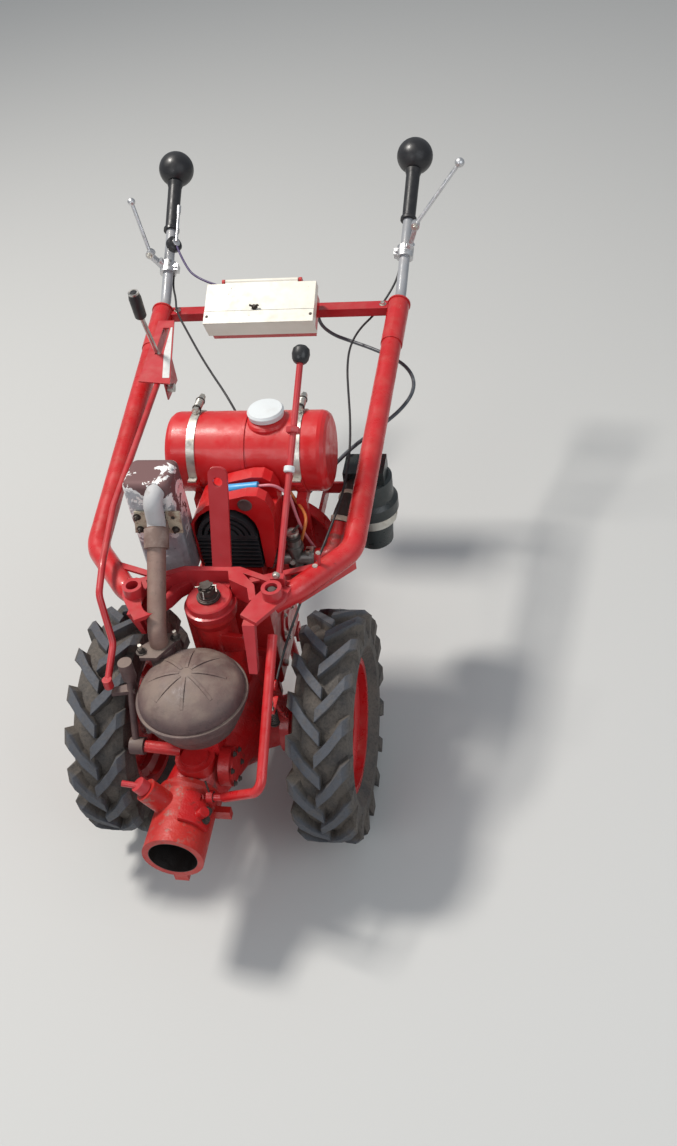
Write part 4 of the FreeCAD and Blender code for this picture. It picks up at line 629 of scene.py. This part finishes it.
    # Handlebar: boss stud, brace and crossbar bolts, lever and rod pins.
    bar_dark.turned((159, 10, 694), up, [(0, 0), (0, 13.6), (24, 13.6), (24, 9.5), (31, 8.5), (31, 0)], 24)
    bar_dark.washer((-159, 10, 694), up, 13.6, 8)
    bar_zinc.bolt((238, 104, 700.2), up, 13)
    bar_red.rod((246, 109, 699), (248, 112, 738), 4.5)
    bar_zinc.rod((248, 112, 738), (248, 112, 741), 5.5)
    for s in (-1, 1):
        bar_zinc.bolt((s * 296, 1040, 824), up, 12)
        bar_dark.bolt((s * 296, 1040, 800), (0, 0, -1), 12)
    bar_zinc.bolt((165, 43, 735), (0, -1, 0.2), 11)
    for word, s, pivot in (("left", -1, (-390, 1180, 932)), ("right", 1, (382, 1200, 974))):
        bar_zinc.bolt((pivot[0], pivot[1] - 11, pivot[2]), front, 11)
        bar_dark.bolt((pivot[0], pivot[1] + 11, pivot[2]), back, 10)
    return [zinc, dark, brown, red, bar_zinc, bar_dark, bar_red]


for group in small_parts():
    group.place()


def toolbox_parts():
    """The lid's lower flap, its screws and the wing nut, on the slope of the lid."""
    tilt = math.radians(29)
    out = (0, -math.sin(tilt), math.cos(tilt))

    def spot(x, down, rise=0.0):
        return (x, 1004 - down * math.cos(tilt) - rise * math.sin(tilt), 922 - down * math.sin(tilt) + rise * math.cos(tilt))

    flap = Batch("lid_flap", "ivory_paint", "toolbox_lid")
    flap.block(spot(-26, 105, 1.1), (305.4, 37, 2.2), (29, 0, 0))
    screws = Batch("lid_screws", "dark_steel", "toolbox_lid")
    for x in (-170, 119):
        screws.turned(spot(x, 102, 1.4), out, [(0, 0), (0, 5), (1.4, 4), (2, 0)], 20)
    screws.turned(spot(-38, 76), out, [(0, 0), (0, 8), (1.5, 8), (1.5, 5.5), (7, 4.5), (10, 4), (10, 0)], 20)
    for s in (-1, 1):
        screws.block(spot(-38 + s * 8, 76, 9), (10, 2.2, 8), (29, s * -25, 0))
    # A thin black strip along the flap's upper edge: painted shade of the seam between lid and flap.
    seam_shade_strip = Batch("lid_seam_shade", "black_rubber", "toolbox_lid")
    seam_shade_strip.block(spot(-26, 85.4, 0.3), (305.6, 1.8, 1.0), (29, 0, 0))
    return [flap, screws, seam_shade_strip]


for group in toolbox_parts():
    group.place()


def lever_parts():
    """Collars and knob of the shift lever, strip on the gate, throttle and lever perches."""
    foot, head = Vector((165, 56, 717)), Vector((193, 445, 1030))
    way = (head - foot).normalized()
    white = Batch("shift_lever_collar", "white_plastic", "handlebar")
    white.turned(head - way * 264, way, [(0, 0), (0, 11), (2, 12.5), (12, 12.5), (14, 11), (14, 0)], 28)
    red = Batch("shift_lever_block", "red_worn", "handlebar")
    red.turned(head - way * 174, way, [(0, 0), (0, 15), (3, 17), (12, 17), (14, 15), (14, 0)], 6, 0.5)
    red.rod(foot - Vector((0, 0, 6)), head, 7.5, 20)
    red.block((165, 49, 716), (30, 18, 22))
    knob = Batch("shift_lever_knob", "black_rubber", "handlebar")
    knob.turned(head - way * 12, way, [(0, 0), (0, 11), (3, 15), (10, 19), (22, 21), (34, 19), (41, 12), (43.5, 0)], 28)
    strip = Batch("gate_strip", "pale_strip", "handlebar")
    tilt = math.radians(9.4)
    corners = [(-233, 700), (-252, 700), (-270, 800), (-273, 902), (-268, 902)]
    for rise in (4.2, 5.0):
        ring = [strip.bm.verts.new(at(x, 790 + (y - 790) * math.cos(tilt) - rise * math.sin(tilt),
                                      830 + (y - 790) * math.sin(tilt) + rise * math.cos(tilt))) for x, y in corners]
        strip.bm.faces.new(ring)
    strip.bm.verts.ensure_lookup_table()
    for k in range(5):
        after = (k + 1) % 5
        strip.bm.faces.new([strip.bm.verts[i] for i in (k, after, 5 + after, 5 + k)])
    knob_black = Batch("gate_lever_knob", "black_rubber", "handlebar")
    gate_way = Vector((0, -9, 74)).normalized()
    knob_black.turned((-290, 758.2, 968), gate_way, [(0, 0), (0, 13), (4, 15.5), (60, 16.5), (72, 14), (78, 8), (79, 0)], 28)
    way = Vector((-0.042, 0.869, 0.494))
    housing = Batch("throttle_housing", "black_rubber", "handlebar")
    centre = Vector((-318, 1196, 944))
    housing.turned(centre - Vector((8, 0, 0)), (0.75, -0.2, 0.62), [(0, 0), (0, 21), (5, 23), (17, 23), (20, 19), (20, 0)], 32)
    alloy = Batch("lever_perches", "alloy", "handlebar")
    alloy.turned(centre + Vector((7, -4, 13)), (0.75, -0.2, 0.62), [(0, 0), (0, 12), (4, 12), (6, 8), (6, 0)], 24)
    tip = centre + Vector((10, -4, 17)) + way * 118
    alloy.rod(centre + Vector((10, -4, 17)), tip, 4.2)
    alloy.rod(tip - way * 26, tip, 6.2)
    for s, share in ((-1, 0.47), (1, 0.56)):
        along = Vector((s * 0.042, 0.869, 0.494))
        spot = Vector((s * 342, 1083, 827.3)) + along * 238.2 * share
        side = Vector((-s, 0, 0))
        alloy.block(spot + side * 24, (14, 20, 24), (30, 0, 0))
        alloy.hexagon(spot + side * 24 + Vector((0, -7, 10)), (0, -0.5, 0.87), 9, 6)
        alloy.rod(spot + Vector((s * 6, 0, 6)), spot + Vector((s * 20, -4, 30)), 11)
    return [white, red, knob, strip, knob_black, housing, alloy]


for group in lever_parts():
    made = group.place()
    if group.name == "shift_lever_block":
        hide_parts("shift_lever")

hoses = Batch("hose_bands", "cream", "chassis")
for centre, way in (((259.2, 330.5, 650), (0.139, 0.787, 0.602)), ((268, 408, 652), (0.107, 0.993, -0.054))):
    start = Vector(centre) - Vector(way).normalized() * 6
    hoses.turned(start, way, [(0, 21), (0, 24.6), (1.5, 25.6), (10.5, 25.6), (12, 24.6), (12, 21)], 32)
hoses.place()
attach(line("fuel_line", [(140, 346, 727), (150, 338, 712), (166, 322, 700), (178, 308, 691), (184, 293, 682), (178, 281, 660),
                           (168, 278, 632), (163, 275, 610), (159, 270, 598)], 3.8, "amber"), "chassis")
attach(line("throttle_line", [(-306, 1182, 950), (-296, 1160, 944), (-270, 1122, 918), (-249, 1100, 903), (-205, 1076, 892),
                               (-160, 1062, 884), (-118, 1052, 860), (-100, 1046, 836), (-98, 1042, 824)], 3.2, "violet"), "handlebar")


# Floor, light and finish.
def make_stage():
    floor = bpy.data.meshes.new("floor")
    reach = 26.0
    floor.from_pydata([(-reach, -reach, 0), (reach, -reach, 0), (reach, reach, 0), (-reach, reach, 0)], [], [(0, 1, 2, 3)])
    obj = bpy.data.objects.new("floor", floor)
    bpy.context.scene.collection.objects.link(obj)
    s = Shader("floor_pale", 0.85)
    s.finish((0.52, 0.52, 0.51))
    floor.materials.append(s.material)
    world = bpy.data.worlds.new("studio")
    world.use_nodes = True
    world.node_tree.nodes["Background"].inputs["Color"].default_value = (0.86, 0.92, 1.0, 1)
    world.node_tree.nodes["Background"].inputs["Strength"].default_value = 0.38
    bpy.context.scene.world = world
    lamps = (("key", (-3.0, 0.7, 6.8), 1.2, 500, (1.0, 0.96, 0.90)),
             ("fill", (2.6, -2.0, 2.6), 2.4, 34, (0.92, 0.96, 1.0)),
             ("front", (-1.2, -3.4, 2.6), 1.8, 26, (1.0, 1.0, 1.0)))
    for name, place, size, power, colour in lamps:
        data = bpy.data.lights.new(name, "AREA")
        data.size = size
        data.energy = power
        data.color = colour
        lamp = bpy.data.objects.new(name, data)
        lamp.location = place
        lamp.rotation_euler = (Vector((0, 0, 0.5)) - Vector(place)).to_track_quat("-Z", "Y").to_euler()
        bpy.context.scene.collection.objects.link(lamp)


make_stage()
bpy.context.scene.view_settings.view_transform = "Standard"
